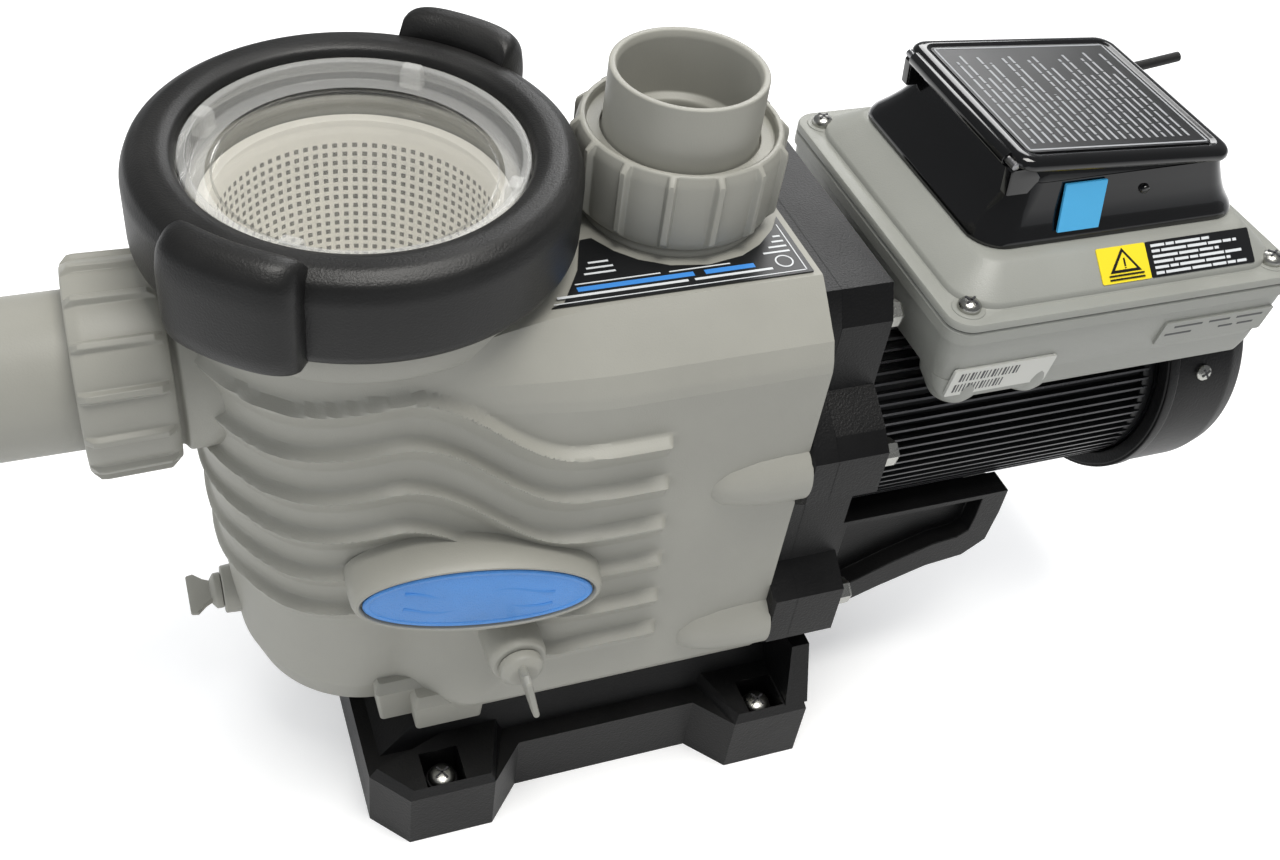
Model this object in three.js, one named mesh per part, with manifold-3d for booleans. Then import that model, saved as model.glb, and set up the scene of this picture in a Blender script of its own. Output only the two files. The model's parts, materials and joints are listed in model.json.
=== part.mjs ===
// Swimming-pool circulation pump with strainer, variable-speed motor and control box.
// Millimetres, +Z up. Origin: on the ground under the strainer's vertical axis,
// in the plane of the motor shaft. +X runs from the strainer to the motor.
// The front, with the badge, is -Y; left is -X.
import * as THREE from 'three';
import { mergeVertices } from 'three/addons/utils/BufferGeometryUtils.js';
import Module from 'manifold-3d';

// ---- driving dimensions ----
const GAP = 0.4;                // clearance between neighbouring pieces
const OVER = 1;                 // how far a cut runs past the face it opens
const SHAFT_Z = 190;            // height of the motor shaft
const SHAFT_R = 8;
const SHAFT_HOLE_R = SHAFT_R + GAP;
const SUCTION_X = -78;          // shoulder of the suction neck
const SUCTION_Z = 262;          // height of the suction port axis
const DISCHARGE_X = 141;        // discharge port axis
const DECK_Z = 312;             // flat top of the housing
const PIPE_ID = 60.3;           // 2 inch slip socket bore
const PIPE_OD = 68.3;           // 2 inch slip socket outside
const BORE_R = 26;              // water passage through the ports
const NECK_R = 38;              // outside of the threaded necks
const NECK_LENGTH = 26;
const NUT_R = 44;               // union nut, under its ribs
const RING_R = 92;              // lock ring
const LUG_R = 110;              // handles of the lock ring
const LID_R = 70;               // visible part of the clear lid
const BODY_X1 = 200;            // flange face of the housing
const BODY_HALF = 88;           // half width of the housing
const PLATE_X0 = BODY_X1 + GAP, PLATE_X1 = 226;
const MOTOR_R = 70, MOTOR_ROOT_R = 65.5;
const MOTOR_X0 = PLATE_X1 + GAP, MOTOR_X1 = 400;
const MOTOR_SADDLE_R = MOTOR_R + 1.3;   // cradles cut in the bracket and the control box
const COVER_R = 78, COVER_X0 = MOTOR_X1 + GAP, COVER_X1 = 455;     // fan cover
const BOX_X0 = 247, BOX_X1 = 437, BOX_HALF = 88;                   // control box
const BOX_Z0 = 238, BOX_Z1 = 285, LID_Z1 = 305;
const HINGE_X = 281, HINGE_Z = 345, COVER_TILT = 0.0713;           // keypad cover

// Facets of a round: multiples of four, so that coaxial rounds keep their corners in line.
const FINE = 24, MEDIUM = 16, COARSE = 12;
const QUARTER = Math.PI / 2;
const SIDES = [-1, 1];          // front and rear

const wasm = await Module();
wasm.setup();

// ---- solids ----
// Welds a geometry, drops its collapsed triangles and turns it outside out if needed.
function solid(source) {
  const bare = source.clone();
  for (const key of Object.keys(bare.attributes)) {
    if (key !== 'position') bare.deleteAttribute(key);
  }
  const welded = mergeVertices(bare, 1e-4);
  const points = welded.attributes.position;
  const index = welded.index.array;
  const corners = [0, 1, 2].map(() => new THREE.Vector3());
  const triangles = [];
  let volume = 0;
  for (let i = 0; i < index.length; i += 3) {
    const triangle = [index[i], index[i + 1], index[i + 2]];
    if (new Set(triangle).size < 3) continue;
    triangles.push(triangle);
    triangle.forEach((vertex, k) => corners[k].fromBufferAttribute(points, vertex));
    volume += corners[0].dot(corners[1].cross(corners[2]));
  }
  const wound = volume < 0 ? triangles.map(([a, b, c]) => [a, c, b]) : triangles;
  return new wasm.Manifold(new wasm.Mesh({
    numProp: 3,
    vertProperties: Float32Array.from(points.array),
    triVerts: Uint32Array.from(wound.flat()),
  }));
}
function indexed(coordinates, index) {
  const result = new THREE.BufferGeometry();
  const array = Float32Array.from(coordinates);
  result.setAttribute('position', new THREE.BufferAttribute(array, 3));
  result.setIndex(index);
  return result;
}
function geometry(manifold) {
  const mesh = manifold.getMesh();
  const result = indexed(mesh.vertProperties, Array.from(mesh.triVerts));
  result.computeVertexNormals();
  return result;
}

// Turned parts: the profile is a list of [radius, distance along the axis].
function lathe(profile, facets) {
  const points = profile.map(([radius, along]) => new THREE.Vector2(radius, along));
  if (profile[0][0] > 0) points.push(points[0].clone());
  return new THREE.LatheGeometry(points, facets);
}
const turned = (profile, facets = FINE) => solid(lathe(profile, facets).rotateX(QUARTER));
// about +X at the shaft height
const turnedX = (profile, facets = FINE) => solid(
  lathe(profile, facets).rotateZ(-QUARTER).translate(0, 0, SHAFT_Z));
// plain sleeve on the shaft line
const sleeveX = (inner, outer, x0, x1) => turnedX(
  [[inner, x0], [outer, x0], [outer, x1], [inner, x1]], MEDIUM);

const box = (x0, x1, y0, y1, z0, z1) => solid(
  new THREE.BoxGeometry(x1 - x0, y1 - y0, z1 - z0)
    .translate((x0 + x1) / 2, (y0 + y1) / 2, (z0 + z1) / 2));
const cylinder = (radius, length, facets) => new THREE.CylinderGeometry(
  radius, radius, length, facets);
const cylZ = (radius, x, y, z0, z1, facets = MEDIUM) => solid(
  cylinder(radius, z1 - z0, facets).rotateX(QUARTER).translate(x, y, (z0 + z1) / 2));
const cylX = (radius, x0, x1, y, z, facets = MEDIUM) => solid(
  cylinder(radius, x1 - x0, facets).rotateZ(-QUARTER).translate((x0 + x1) / 2, y, z));
const cylY = (radius, y0, y1, x, z, facets = MEDIUM) => solid(
  cylinder(radius, y1 - y0, facets).translate(x, (y0 + y1) / 2, z));

function extruded(outline, depth) {
  const shape = new THREE.Shape(outline.map(([u, v]) => new THREE.Vector2(u, v)));
  return new THREE.ExtrudeGeometry(shape, { depth, bevelEnabled: false });
}
// outline in X,Y
const prismZ = (outline, z0, z1) => solid(extruded(outline, z1 - z0).translate(0, 0, z0));
// outline in Y,Z
const prismX = (outline, x0, x1) => solid(
  extruded(outline, x1 - x0).rotateX(QUARTER).rotateZ(QUARTER).translate(x0, 0, 0));
// outline in X,Z
const prismY = (outline, y0, y1) => solid(
  extruded(outline, y1 - y0).rotateX(QUARTER).translate(0, y1, 0));

// closes a half outline with its mirror image in the first or the second coordinate
const mirrorFirst = (half) => [...half, ...half.map(([u, v]) => [-u, v]).reverse()];
const mirrorSecond = (half) => [...half, ...half.map(([u, v]) => [u, -v]).reverse()];
// Y range, low end first, for distances from the middle plane on one side
const span = (side, inner, outer) => (side < 0 ? [-outer, -inner] : [inner, outer]);

const rect = (x0, x1, y0, y1, z) => [[x0, y0, z], [x1, y0, z], [x1, y1, z], [x0, y1, z]];
// six-sided block between four bottom corners and four top corners, anticlockwise from above
function block(bottom, top) {
  const faces = [0, 2, 1, 0, 3, 2, 4, 5, 6, 4, 6, 7];
  for (let i = 0; i < 4; i++) {
    const j = (i + 1) % 4;
    faces.push(i, j, 4 + j, i, 4 + j, 4 + i);
  }
  return solid(indexed([...bottom, ...top].flat(), faces));
}

// ---- materials ----
const finish = (settings) => new THREE.MeshStandardMaterial(settings);
const M = {
  grey: finish({ color: 0xafada4, roughness: 0.55 }),
  union: finish({ color: 0x96968f, roughness: 0.5 }),
  satin: finish({ color: 0x232323, roughness: 0.5 }),
  ring: finish({ color: 0x2c2c2c, roughness: 0.45 }),
  gloss: finish({ color: 0x0d0d0e, roughness: 0.12 }),
  clear: finish({ color: 0xdfe4e6, roughness: 0.05, transparent: true, opacity: 0.35 }),
  basket: finish({ color: 0xc8c6be, roughness: 0.6 }),
  blue: finish({ color: 0x5e96dc, roughness: 0.4 }),
  rubber: finish({ color: 0x141414, roughness: 0.8 }),
  zinc: finish({ color: 0xb8b8b4, roughness: 0.3, metalness: 1 }),
  steel: finish({ color: 0x9a9a9c, roughness: 0.35, metalness: 1 }),
  motor: finish({ color: 0x17181a, roughness: 0.45, metalness: 0.3 }),
  box: finish({ color: 0xa9a8a1, roughness: 0.5 }),
  board: finish({ color: 0x1f5a33, roughness: 0.6 }),
  copper: finish({ color: 0x8a4a26, roughness: 0.4, metalness: 0.8 }),
  button: finish({ color: 0x3a3c40, roughness: 0.5 }),
  label: finish({ color: 0x101113, roughness: 0.4 }),
};

const pump = new THREE.Group();
function add(name, manifold, material, parent = pump) {
  const mesh = new THREE.Mesh(geometry(manifold), material);
  mesh.name = name;
  parent.add(mesh);
  return mesh;
}

// ---- base: four-legged moulded foot with a screw pocket in each leg ----
const LEG_X = [20, 196], LEG_Y = 93;    // screw axes
const POCKET_HALF = 10, POCKET_Z = 22;  // square screw pockets and their floor
const FOOT_Z = 39, PAD_Z = 45;
// front half, [x, y]
const FOOT = [[-16, -86], [1, -105], [45, -105], [63, -86], [161, -86], [178, -105], [220, -105]];
// raised pads on the legs: bottom and top corners, [x, distance from the middle plane]
const LEG_PADS = [
  [[[-16, 86], [1, 105], [45, 105], [63, 60]], [[-12, 86], [3, 103], [43, 103], [58, 62]]],
  [[[161, 62], [178, 105], [220, 105], [220, 60]], [[166, 62], [180, 103], [218, 103], [218, 60]]],
];

function baseMoulding() {
  let base = prismZ(mirrorSecond(FOOT), 0, FOOT_Z);
  for (const side of SIDES) {
    const order = side < 0 ? [0, 1, 2, 3] : [0, 3, 2, 1];   // keeps the corners anticlockwise
    const corners = (quad, z) => order.map((k) => [quad[k][0], side * quad[k][1], z]);
    for (const [bottom, top] of LEG_PADS) {
      base = base.add(block(corners(bottom, FOOT_Z), corners(top, PAD_Z)));
    }
    base = base.add(block(                                  // tapered upright at the +X end
      rect(207, 220, ...span(side, 66, 104), 44), rect(209, 219, ...span(side, 66, 92), 80)));
    for (const x of LEG_X) {
      const pocketY = span(side, LEG_Y - POCKET_HALF, LEG_Y + POCKET_HALF);
      base = base
        .subtract(box(x - POCKET_HALF, x + POCKET_HALF, ...pocketY, POCKET_Z, PAD_Z + OVER))
        .subtract(cylZ(3.4, x, side * LEG_Y, -OVER, POCKET_Z + OVER, COARSE));
    }
  }
  const bowlSeat = [[0, 49.5], [34.4, 49.5], [52.6, 59.6], [56, 64], [0, 64]];
  return base
    .add(block(rect(-10, 216, -76, 76, 38), rect(24, 212, -66, 66, 61)))
    .subtract(box(66, 158, -66, 66, -OVER, 52))             // hollow underside
    .subtract(turned(bowlSeat));
}
add('base', baseMoulding(), M.satin);

const baseScrew = turned(
  [[0, -22], [2.8, -22], [2.8, 0], [6.4, 0], [6.4, 1.6], [4.6, 4.4], [0, 5]], COARSE);
LEG_X.flatMap((x) => SIDES.map((side) => [x, side * LEG_Y])).forEach(([x, y], i) => {
  add(`base_screw_${i + 1}`, baseScrew, M.zinc).position.set(x, y, POCKET_Z + GAP);
});

// ---- housing: strainer bowl, volute body, ports, bosses ----
const BADGE_AT = [33, -90, 180], BADGE_YAW = -0.097, BADGE_TILT = 0.078;
const PEDESTAL_DEPTH = 5;
const FRONT_DRAIN = { x: 53, y: -100, z: 130 };             // outer faces of the drain bosses
const LEFT_DRAIN = { x: -72, y: 0, z: 102 };
const PLUG_R = 7;
const FLANGE_Y = 84;            // bosses and outer bolts of the flange
const BOWL_OUTSIDE = [[0, 50], [34, 50], [52, 60], [62, 84], [68, 140], [74, 230], [78, 300],
  [78, 340], [0, 340]];
const BOWL_INSIDE = [[0, 58], [30, 58], [46, 68], [55, 90], [60, 140], [65, 230], [66, 300],
  [66, 341], [0, 341]];
// half outlines of the body: [y, z] across it and [x, y] seen from above
const BODY_SECTION = [[70, 66], [BODY_HALF, 84], [BODY_HALF + 2, 278], [85, 292], [64, DECK_Z]];
const BODY_PLAN = [[0, -74], [30, -80], [62, -86], [110, -90], [BODY_X1, -90]];
const RIB_Z = [255, 229, 202, 176, 149, 123];

function oval(halfLength, halfHeight, depth) {
  const shape = new THREE.Shape().absellipse(0, 0, halfLength, halfHeight, 0, Math.PI * 2);
  return new THREE.ExtrudeGeometry(shape, { depth, bevelEnabled: false, curveSegments: 10 });
}

function housingMoulding() {
  let housing = turned(BOWL_OUTSIDE).add(prismX(mirrorFirst(BODY_SECTION), 0, BODY_X1)
    .intersect(prismZ(mirrorSecond(BODY_PLAN), 60, DECK_Z + OVER)));
  for (const side of SIDES) {
    for (const z of [215, 105]) {                           // bullet bosses by the flange bolts
      const nose = new THREE.CylinderGeometry(15, 4, 26, COARSE)
        .rotateZ(-QUARTER).translate(147.01, side * FLANGE_Y, z);
      housing = housing.add(cylX(15, 160, BODY_X1, side * FLANGE_Y, z, COARSE)).add(solid(nose));
    }
    RIB_Z.forEach((z, i) => {                               // side ribs, longer towards the ground
      housing = housing.add(box(40, 112 + 2 * i, ...span(side, 70, 94), z - 3, z + 3));
    });
  }
  housing = housing
    .add(cylZ(NECK_R, DISCHARGE_X, 0, DECK_Z - 4, DECK_Z + NECK_LENGTH, FINE))
    .add(cylX(NECK_R, SUCTION_X - NECK_LENGTH, -40, 0, SUCTION_Z, FINE));
  const pedestal = solid(oval(56, 22, PEDESTAL_DEPTH)
    .rotateX(QUARTER).rotateY(BADGE_TILT).rotateZ(BADGE_YAW).translate(...BADGE_AT));
  for (let i = 0; i < 3; i++) {                             // stacked back into the body
    housing = housing.add(pedestal.translate([0.4 * i, 4.2 * i, 0]));
  }
  const { x: frontX, y: frontY, z: frontZ } = FRONT_DRAIN;
  const { x: leftX, z: leftZ } = LEFT_DRAIN;
  return housing
    .add(cylY(13, frontY, -70, frontX, frontZ))
    .add(cylX(12, leftX, -50, 0, leftZ))
    .subtract(turned(BOWL_INSIDE))
    .subtract(cylX(72, 128, BODY_X1 + OVER, 0, SHAFT_Z, FINE))      // volute chamber
    .subtract(cylX(24, 50, 130, 0, SHAFT_Z))                        // passage from the bowl
    .subtract(cylZ(BORE_R, DISCHARGE_X, 0, 230, DECK_Z + NECK_LENGTH + OVER))
    .subtract(cylX(BORE_R, SUCTION_X - NECK_LENGTH - OVER, -40, 0, SUCTION_Z))
    .subtract(cylY(PLUG_R + GAP, frontY - OVER, -50, frontX, frontZ, COARSE))
    .subtract(cylX(PLUG_R + GAP, leftX - OVER, -40, 0, leftZ, COARSE));
}
add('pump_housing', housingMoulding(), M.grey);

// drain plugs; local +Z points out of the boss
const plug = turned([[0, -20], [PLUG_R, -20], [PLUG_R, 0.4], [10.5, 0.4], [10.5, 5], [6, 8], [0, 8]],
  COARSE).add(block(rect(-2, 2, -8, 8, 6), rect(-1.6, 1.6, -15, 15, 22)));
function drainPlug(side, at, turnX, turnY) {
  const group = new THREE.Group();
  group.position.set(at.x, at.y, at.z);
  group.rotation.set(turnX, turnY, 0);
  pump.add(group);
  add(`drain_plug_${side}`, plug, M.grey, group);
}
drainPlug('front', FRONT_DRAIN, QUARTER, 0);
drainPlug('left', LEFT_DRAIN, 0, -QUARTER);

const badgeGroup = new THREE.Group();
badgeGroup.position.set(...BADGE_AT);
badgeGroup.rotation.set(QUARTER, BADGE_TILT, BADGE_YAW, 'ZYX');
pump.add(badgeGroup);
const badge = add('name_badge', solid(oval(52, 18.5, 2)), M.blue, badgeGroup);
badge.position.z = PEDESTAL_DEPTH + GAP;
add('housing_label', box(74, 190, -63, -47, DECK_Z + GAP, DECK_Z + 1), M.label);

// ---- strainer: basket, seal, lid, lock ring ----
add('strainer_basket', turned([
  [0, 80], [44, 80], [50, 100], [57, 180], [61, 300], [61, 326], [65, 326],
  [65, 332], [58.5, 332], [58.5, 300], [54.5, 180], [47.5, 102], [42, 83], [0, 83],
]), M.basket);
add('lid_oring', turned([
  [69, 340.4], [75, 340.4], [76.5, 342.2], [75, 344], [69, 344], [67.5, 342.2],
]), M.rubber);
add('clear_lid', turned([
  [0, 344.4], [80, 344.4], [80, 350], [LID_R, 350], [LID_R, 357], [LID_R - 5, 357],
  [LID_R - 5, 349], [0, 349],
]), M.clear);

function lockRing() {
  const ring = turned([
    [81, 322], [RING_R - 1, 322], [RING_R, 324], [RING_R, 354], [RING_R - 3, 360],
    [RING_R - 8, 362.5], [RING_R - 16, 362.5], [LID_R + 1, 359], [LID_R + 1, 350.6], [81, 350.6],
  ]);
  const lug = turned([
    [84, 322], [LUG_R, 326], [LUG_R, 376], [LUG_R - 5, 384], [LUG_R - 12, 386],
    [86, 380], [80, 361], [84, 352],
  ]).intersect(box(60, 125, -36, 36, 320, 390));
  return ring.add(lug.rotate([0, 0, 45])).add(lug.rotate([0, 0, 225]));
}
add('lock_ring', lockRing(), M.ring);

// ---- unions; local +Z points out of the port, z = 0 at the shoulder of the neck ----
function unionNut() {
  const threadR = NECK_R + 0.5;
  const mouthR = PIPE_OD / 2 + 0.6;
  let nut = turned([
    [threadR, 5], [NUT_R, 5], [NUT_R + 1, 10], [NUT_R + 1, 38], [NUT_R, 43], [NUT_R - 3, 43],
    [NUT_R - 3, 38.5], [mouthR, 38.5], [mouthR, 35.4], [threadR, 35.4],
  ]);
  const rib = box(NUT_R - 2, NUT_R + 3, -2.5, 2.5, 10, 41);
  for (let i = 0; i < 6; i++) nut = nut.add(rib.rotate([0, 0, 15 + i * 60]));
  return nut;
}
const tailpiece = (end) => turned([
  [BORE_R, 30], [NECK_R - 0.3, 30], [NECK_R - 0.3, 35], [PIPE_OD / 2, 35], [PIPE_OD / 2, end],
  [PIPE_ID / 2 + 0.4, end], [PIPE_ID / 2, end - 3], [PIPE_ID / 2, 36], [BORE_R, 34],
]);
function union(prefix, x, z, turn, end) {
  const group = new THREE.Group();
  group.position.set(x, 0, z);
  group.rotation.y = turn;
  pump.add(group);
  add(`${prefix}_nut`, unionNut(), M.union, group);
  add(`${prefix}_tailpiece`, tailpiece(end), M.union, group);
  const oring = turned([[28.5, 26.4], [36, 26.4], [36, 29.6], [28.5, 29.6]], MEDIUM);
  add(`${prefix}_oring`, oring, M.rubber, group);
}
union('discharge', DISCHARGE_X, DECK_Z, 0, 68);
union('suction', SUCTION_X, SUCTION_Z, -QUARTER, 87);

// ---- wet end ----
add('diffuser', turnedX([
  [24, 131], [70.5, 131], [70.5, 199.4], [64, 199.4], [64, 136], [24, 136],
]), M.satin);

function impeller() {
  let wheel = turnedX([
    [SHAFT_HOLE_R, 142], [14, 142], [18, 160], [58, 160], [58, 164], [SHAFT_HOLE_R, 164],
  ], MEDIUM);
  const vane = box(-1.5, 1.5, 14, 57, -9, 1);
  for (let i = 0; i < 6; i++) {
    wheel = wheel.add(
      vane.rotate([0, 0, 22 + i * 60]).rotate([0, 90, 0]).translate([160, 0, SHAFT_Z]));
  }
  return wheel;
}
add('impeller', impeller(), M.satin);
add('shaft_seal', turnedX([
  [SHAFT_HOLE_R, 172], [15, 172], [17, 180], [17, 198], [SHAFT_HOLE_R, 198],
], MEDIUM), M.rubber);

// ---- seal plate with bolt ears, and its six bolts ----
const BOLT_R = 4;
const LOW_BOLT_Z = 110;
// half outline, [y, z]
const PLATE = [[62, 300], [70, 284], [70, 246], [88, 234], [96, 226], [96, 200], [80, 184],
  [80, 140], [96, 128], [96, 96], [86, 84]];
const BOLTS = [[56, 276], [FLANGE_Y, 213], [FLANGE_Y, LOW_BOLT_Z]]
  .flatMap(([y, z]) => SIDES.map((side) => [side * y, z]));

let plate = prismX(mirrorFirst(PLATE), PLATE_X0, PLATE_X1);
for (const [y, z] of BOLTS) {
  plate = plate.subtract(cylX(BOLT_R + GAP, PLATE_X0 + 4, PLATE_X1 + OVER, y, z, COARSE));
}
plate = plate.subtract(cylX(11, PLATE_X0 - OVER, PLATE_X1 + OVER, 0, SHAFT_Z));
add('seal_plate', plate, M.satin);

const flangeBolt = turned(
  [[0, -20], [BOLT_R, -20], [BOLT_R, 0.3], [8.5, 0.3], [8.5, 2], [0, 2]], COARSE)
  .add(cylZ(6.6, 0, 0, 1.9, 7.9, 6));                       // hexagon head
BOLTS.forEach(([y, z], i) => {
  const bolt = add(`housing_bolt_${i + 1}`, flangeBolt, M.zinc);
  bolt.position.set(PLATE_X1, y, z);
  bolt.rotation.y = QUARTER;
});

// ---- motor bracket under the motor ----
const BRACKET_HALF = 66;
// side views, [x, z]
const BRACKET = [[MOTOR_X0, 66], [246, 69], [272, 80], [300, 90], [322, 93], [334, 103],
  [336, 125], [336, 142], [MOTOR_X0, 142]];
const BRACKET_RECESS = [[240, 84], [252, 88], [276, 99], [300, 108], [314, 110], [320, 114],
  [321, 124], [321, 136], [240, 136]];

let bracket = prismY(BRACKET, -BRACKET_HALF, BRACKET_HALF)
  .subtract(cylX(MOTOR_SADDLE_R, 220, 345, 0, SHAFT_Z, FINE))
  .subtract(box(240, 322, -52, 52, 50, 150));
for (const side of SIDES) {
  bracket = bracket
    .subtract(prismY(BRACKET_RECESS, ...span(side, 56, BRACKET_HALF + OVER)))
    .subtract(cylX(11.5, 225, 240, side * FLANGE_Y, LOW_BOLT_Z, COARSE));
}
add('motor_bracket', bracket, M.satin);

// ---- motor; its front end is the one at the seal plate ----
const FINS = 14;
const BEARING_R = 20, BEARING_SEAT_R = BEARING_R + GAP;
const FRONT_SEAT_X = 238;

// [share of the fin pitch, radius] of the corners of one fin
const FIN_CORNERS = [[0, MOTOR_ROOT_R], [0.5, MOTOR_ROOT_R], [0.56, MOTOR_R], [0.94, MOTOR_R]];

function motorHousing() {
  const fins = [];
  for (let i = 0; i < FINS; i++) {
    for (const [share, radius] of FIN_CORNERS) {
      const angle = ((i + share) / FINS) * Math.PI * 2;
      fins.push([radius * Math.cos(angle), SHAFT_Z + radius * Math.sin(angle)]);
    }
  }
  const noseX = MOTOR_X0 + 9, rimX = MOTOR_X1 - 5;
  return prismX(fins, MOTOR_X0 + 8, MOTOR_X1 - 4)
    .add(turnedX([[0, MOTOR_X0], [62, MOTOR_X0], [67, noseX], [0, noseX]]))
    .add(turnedX([[0, rimX], [68.5, rimX], [68.5, MOTOR_X1], [0, MOTOR_X1]]))
    .subtract(turnedX([
      [0, MOTOR_X0 - OVER], [SHAFT_R + 1, MOTOR_X0 - OVER], [SHAFT_R + 1, FRONT_SEAT_X],
      [BEARING_SEAT_R, FRONT_SEAT_X], [BEARING_SEAT_R, 252], [61, 252],
      [61, MOTOR_X1 + OVER], [0, MOTOR_X1 + OVER],
    ]));
}
add('motor_housing', motorHousing(), M.motor);
add('front_bearing', sleeveX(SHAFT_HOLE_R, BEARING_R, 238.5, 251), M.steel);
add('stator_core', sleeveX(38, 59.8, 268, 366), M.copper);
add('rotor_core', sleeveX(SHAFT_HOLE_R, 37, 270, 364), M.steel);
add('motor_shaft', turnedX(
  [[0, 138], [6, 138], [SHAFT_R, 141], [SHAFT_R, 438], [0, 438]], MEDIUM), M.steel);
add('rear_end_bell', turnedX([
  [SHAFT_R + 1, 408], [69.5, 408], [69.5, COVER_X0], [60.5, COVER_X0], [60.5, 396], [26, 394],
  [26, 384], [BEARING_SEAT_R, 384], [BEARING_SEAT_R, 398], [SHAFT_R + 1, 398],
]), M.motor);
add('rear_bearing', sleeveX(SHAFT_HOLE_R, BEARING_R, 385, 397.5), M.steel);

let fan = sleeveX(SHAFT_HOLE_R, 18, 412, 434);
const blade = box(-11, 9, -1.5, 1.5, 14, 66);
for (let i = 0; i < 7; i++) {
  fan = fan.add(blade.rotate([360 / 7 * i, 0, 0]).translate([423, 0, SHAFT_Z]));
}
add('cooling_fan', fan, M.satin);

let fanCover = turnedX([
  [70.2, COVER_X0], [COVER_R, COVER_X0], [COVER_R, COVER_X1 - 14],
  [COVER_R - 6, COVER_X1 - 2], [COVER_R - 14, COVER_X1], [10, COVER_X1],
  [10, COVER_X1 - 3], [COVER_R - 14, COVER_X1 - 3], [COVER_R - 3, COVER_X1 - 16],
  [COVER_R - 3, MOTOR_X1 + 7], [70.2, MOTOR_X1 + 7],
]);
const slot = box(-10, 5, -3, 3, 24, 56);
for (let i = 0; i < 6; i++) {
  fanCover = fanCover.subtract(slot.rotate([60 * i, 0, 0]).translate([COVER_X1, 0, SHAFT_Z]));
}
add('fan_cover', fanCover, M.satin);

const COVER_SCREW_ANGLE = 0.35;         // above the horizontal
const coverScrew = turned([[0, 0.3], [4.4, 0.3], [4.4, 1.8], [2.6, 3.2], [0, 3.4]], COARSE);
SIDES.forEach((side, i) => {
  const screw = add(`fan_cover_screw_${i + 1}`, coverScrew, M.zinc);
  screw.rotation.x = -side * (QUARTER - COVER_SCREW_ANGLE);
  screw.position.set(422, side * COVER_R * Math.cos(COVER_SCREW_ANGLE),
    SHAFT_Z + COVER_R * Math.sin(COVER_SCREW_ANGLE));
});

// ---- control box astride the motor ----
const CABLE_X = 415, CABLE_Z = 272;     // gland axis
const LID_RIM_Z = 290;
// rectangle set in from the outline of the box, and a layer between two of them
const insetRect = (inset, z) => rect(
  BOX_X0 + inset, BOX_X1 - inset, inset - BOX_HALF, BOX_HALF - inset, z);
const layer = (inset0, z0, inset1, z1) => block(insetRect(inset0, z0), insetRect(inset1, z1));

const boxBody = layer(4, BOX_Z0, 0, BOX_Z1)
  .subtract(cylX(MOTOR_SADDLE_R, 240, 445, 0, SHAFT_Z, FINE))
  .subtract(cylX(COVER_R + 0.8, MOTOR_X1 - 1, 445, 0, SHAFT_Z, FINE))
  .subtract(box(BOX_X0 + 7, BOX_X1 - 13, -BOX_HALF + 8, BOX_HALF - 8, 271.5, BOX_Z1 + OVER))
  .subtract(cylY(5.2, 70, 90, CABLE_X, CABLE_Z, COARSE));
add('control_box_body', boxBody, M.box);

const lidScrews = insetRect(12, LID_RIM_Z + GAP);
let boxLid = layer(9, 293, 23, LID_Z1)
  .add(layer(9, 288, 9, 293.01))
  .add(layer(0, BOX_Z1 + GAP, 0, LID_RIM_Z))
  .subtract(layer(24, BOX_Z1 - OVER, 24, 300));
for (const [x, y] of lidScrews) {
  boxLid = boxLid.subtract(cylZ(7.5, x, y, LID_RIM_Z, 310, COARSE));
}
add('control_box_lid', boxLid, M.box);
const lidScrew = turned([[0, 0], [4.8, 0], [4.8, 2], [3.4, 4.2], [0, 4.6]], COARSE);
lidScrews.forEach((at, i) => {
  add(`lid_screw_${i + 1}`, lidScrew, M.zinc).position.set(...at);
});
add('control_board', box(BOX_X0 + 20, BOX_X1 - 24, -62, 62, 274, 276), M.board);

const gland = add('cable_gland', turned([
  [3.9, -16], [4.9, -16], [4.9, 0.5], [10, 0.5], [10, 8], [6.5, 16], [3.9, 16],
], COARSE), M.satin);
gland.position.set(CABLE_X, BOX_HALF, CABLE_Z);
gland.rotation.x = -QUARTER;

// centre line, [x, y, z]
const CABLE_PATH = [
  [CABLE_X, 80, CABLE_Z], [CABLE_X, 94, CABLE_Z], [CABLE_X, 107, CABLE_Z],
  [424, 126, 278], [452, 138, 288], [488, 146, 296], [520, 152, 303],
];
add('power_cable', solid(new THREE.ExtrudeGeometry(
  new THREE.Shape().absarc(0, 0, 3, 0, Math.PI * 2), {
    steps: 14,
    extrudePath: new THREE.CatmullRomCurve3(CABLE_PATH.map((at) => new THREE.Vector3(...at))),
    curveSegments: 3,
  })), M.rubber);

// ---- keypad: gloss pedestal, buttons, window and hinged cover ----
const PIN_HOLE_R = 2.3;
// top of the pedestal, parallel to the tilted cover
const padTopZ = (x) => HINGE_Z - 1.3 - (x - HINGE_X) * Math.tan(COVER_TILT);

function keypadHousing() {
  const slopedTop = rect(292, 394, -50, 50, 0).map(([x, y]) => [x, y, padTopZ(x)]);
  let pad = block(rect(272, 413, -56, 64, LID_Z1 + GAP), rect(286, 404, -52, 56, 324))
    .add(block(rect(286, 404, -52, 56, 323.9), slopedTop));
  for (const side of SIDES) {                               // hinge ears
    const earY = span(side, 44, 50);
    pad = pad
      .add(box(HINGE_X - 3.4, 296, ...earY, 334, 341.8))
      .add(box(HINGE_X - 3.4, HINGE_X + 8.4, ...earY, 340, HINGE_Z + 3));
  }
  return pad
    .subtract(cylY(PIN_HOLE_R, -60, 60, HINGE_X, HINGE_Z, COARSE))
    .subtract(box(304, 384, -36, 36, 329, 350));
}
add('keypad_housing', keypadHousing(), M.gloss);
add('display_window', box(312, 344, -26, 26, 329.4, 331.4), M.clear);
[-24, -8, 8, 24].forEach((y, i) => {
  add(`keypad_button_${i + 1}`, cylZ(5, 364, y, 330.4, 333.6, COARSE), M.button);
});

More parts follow.
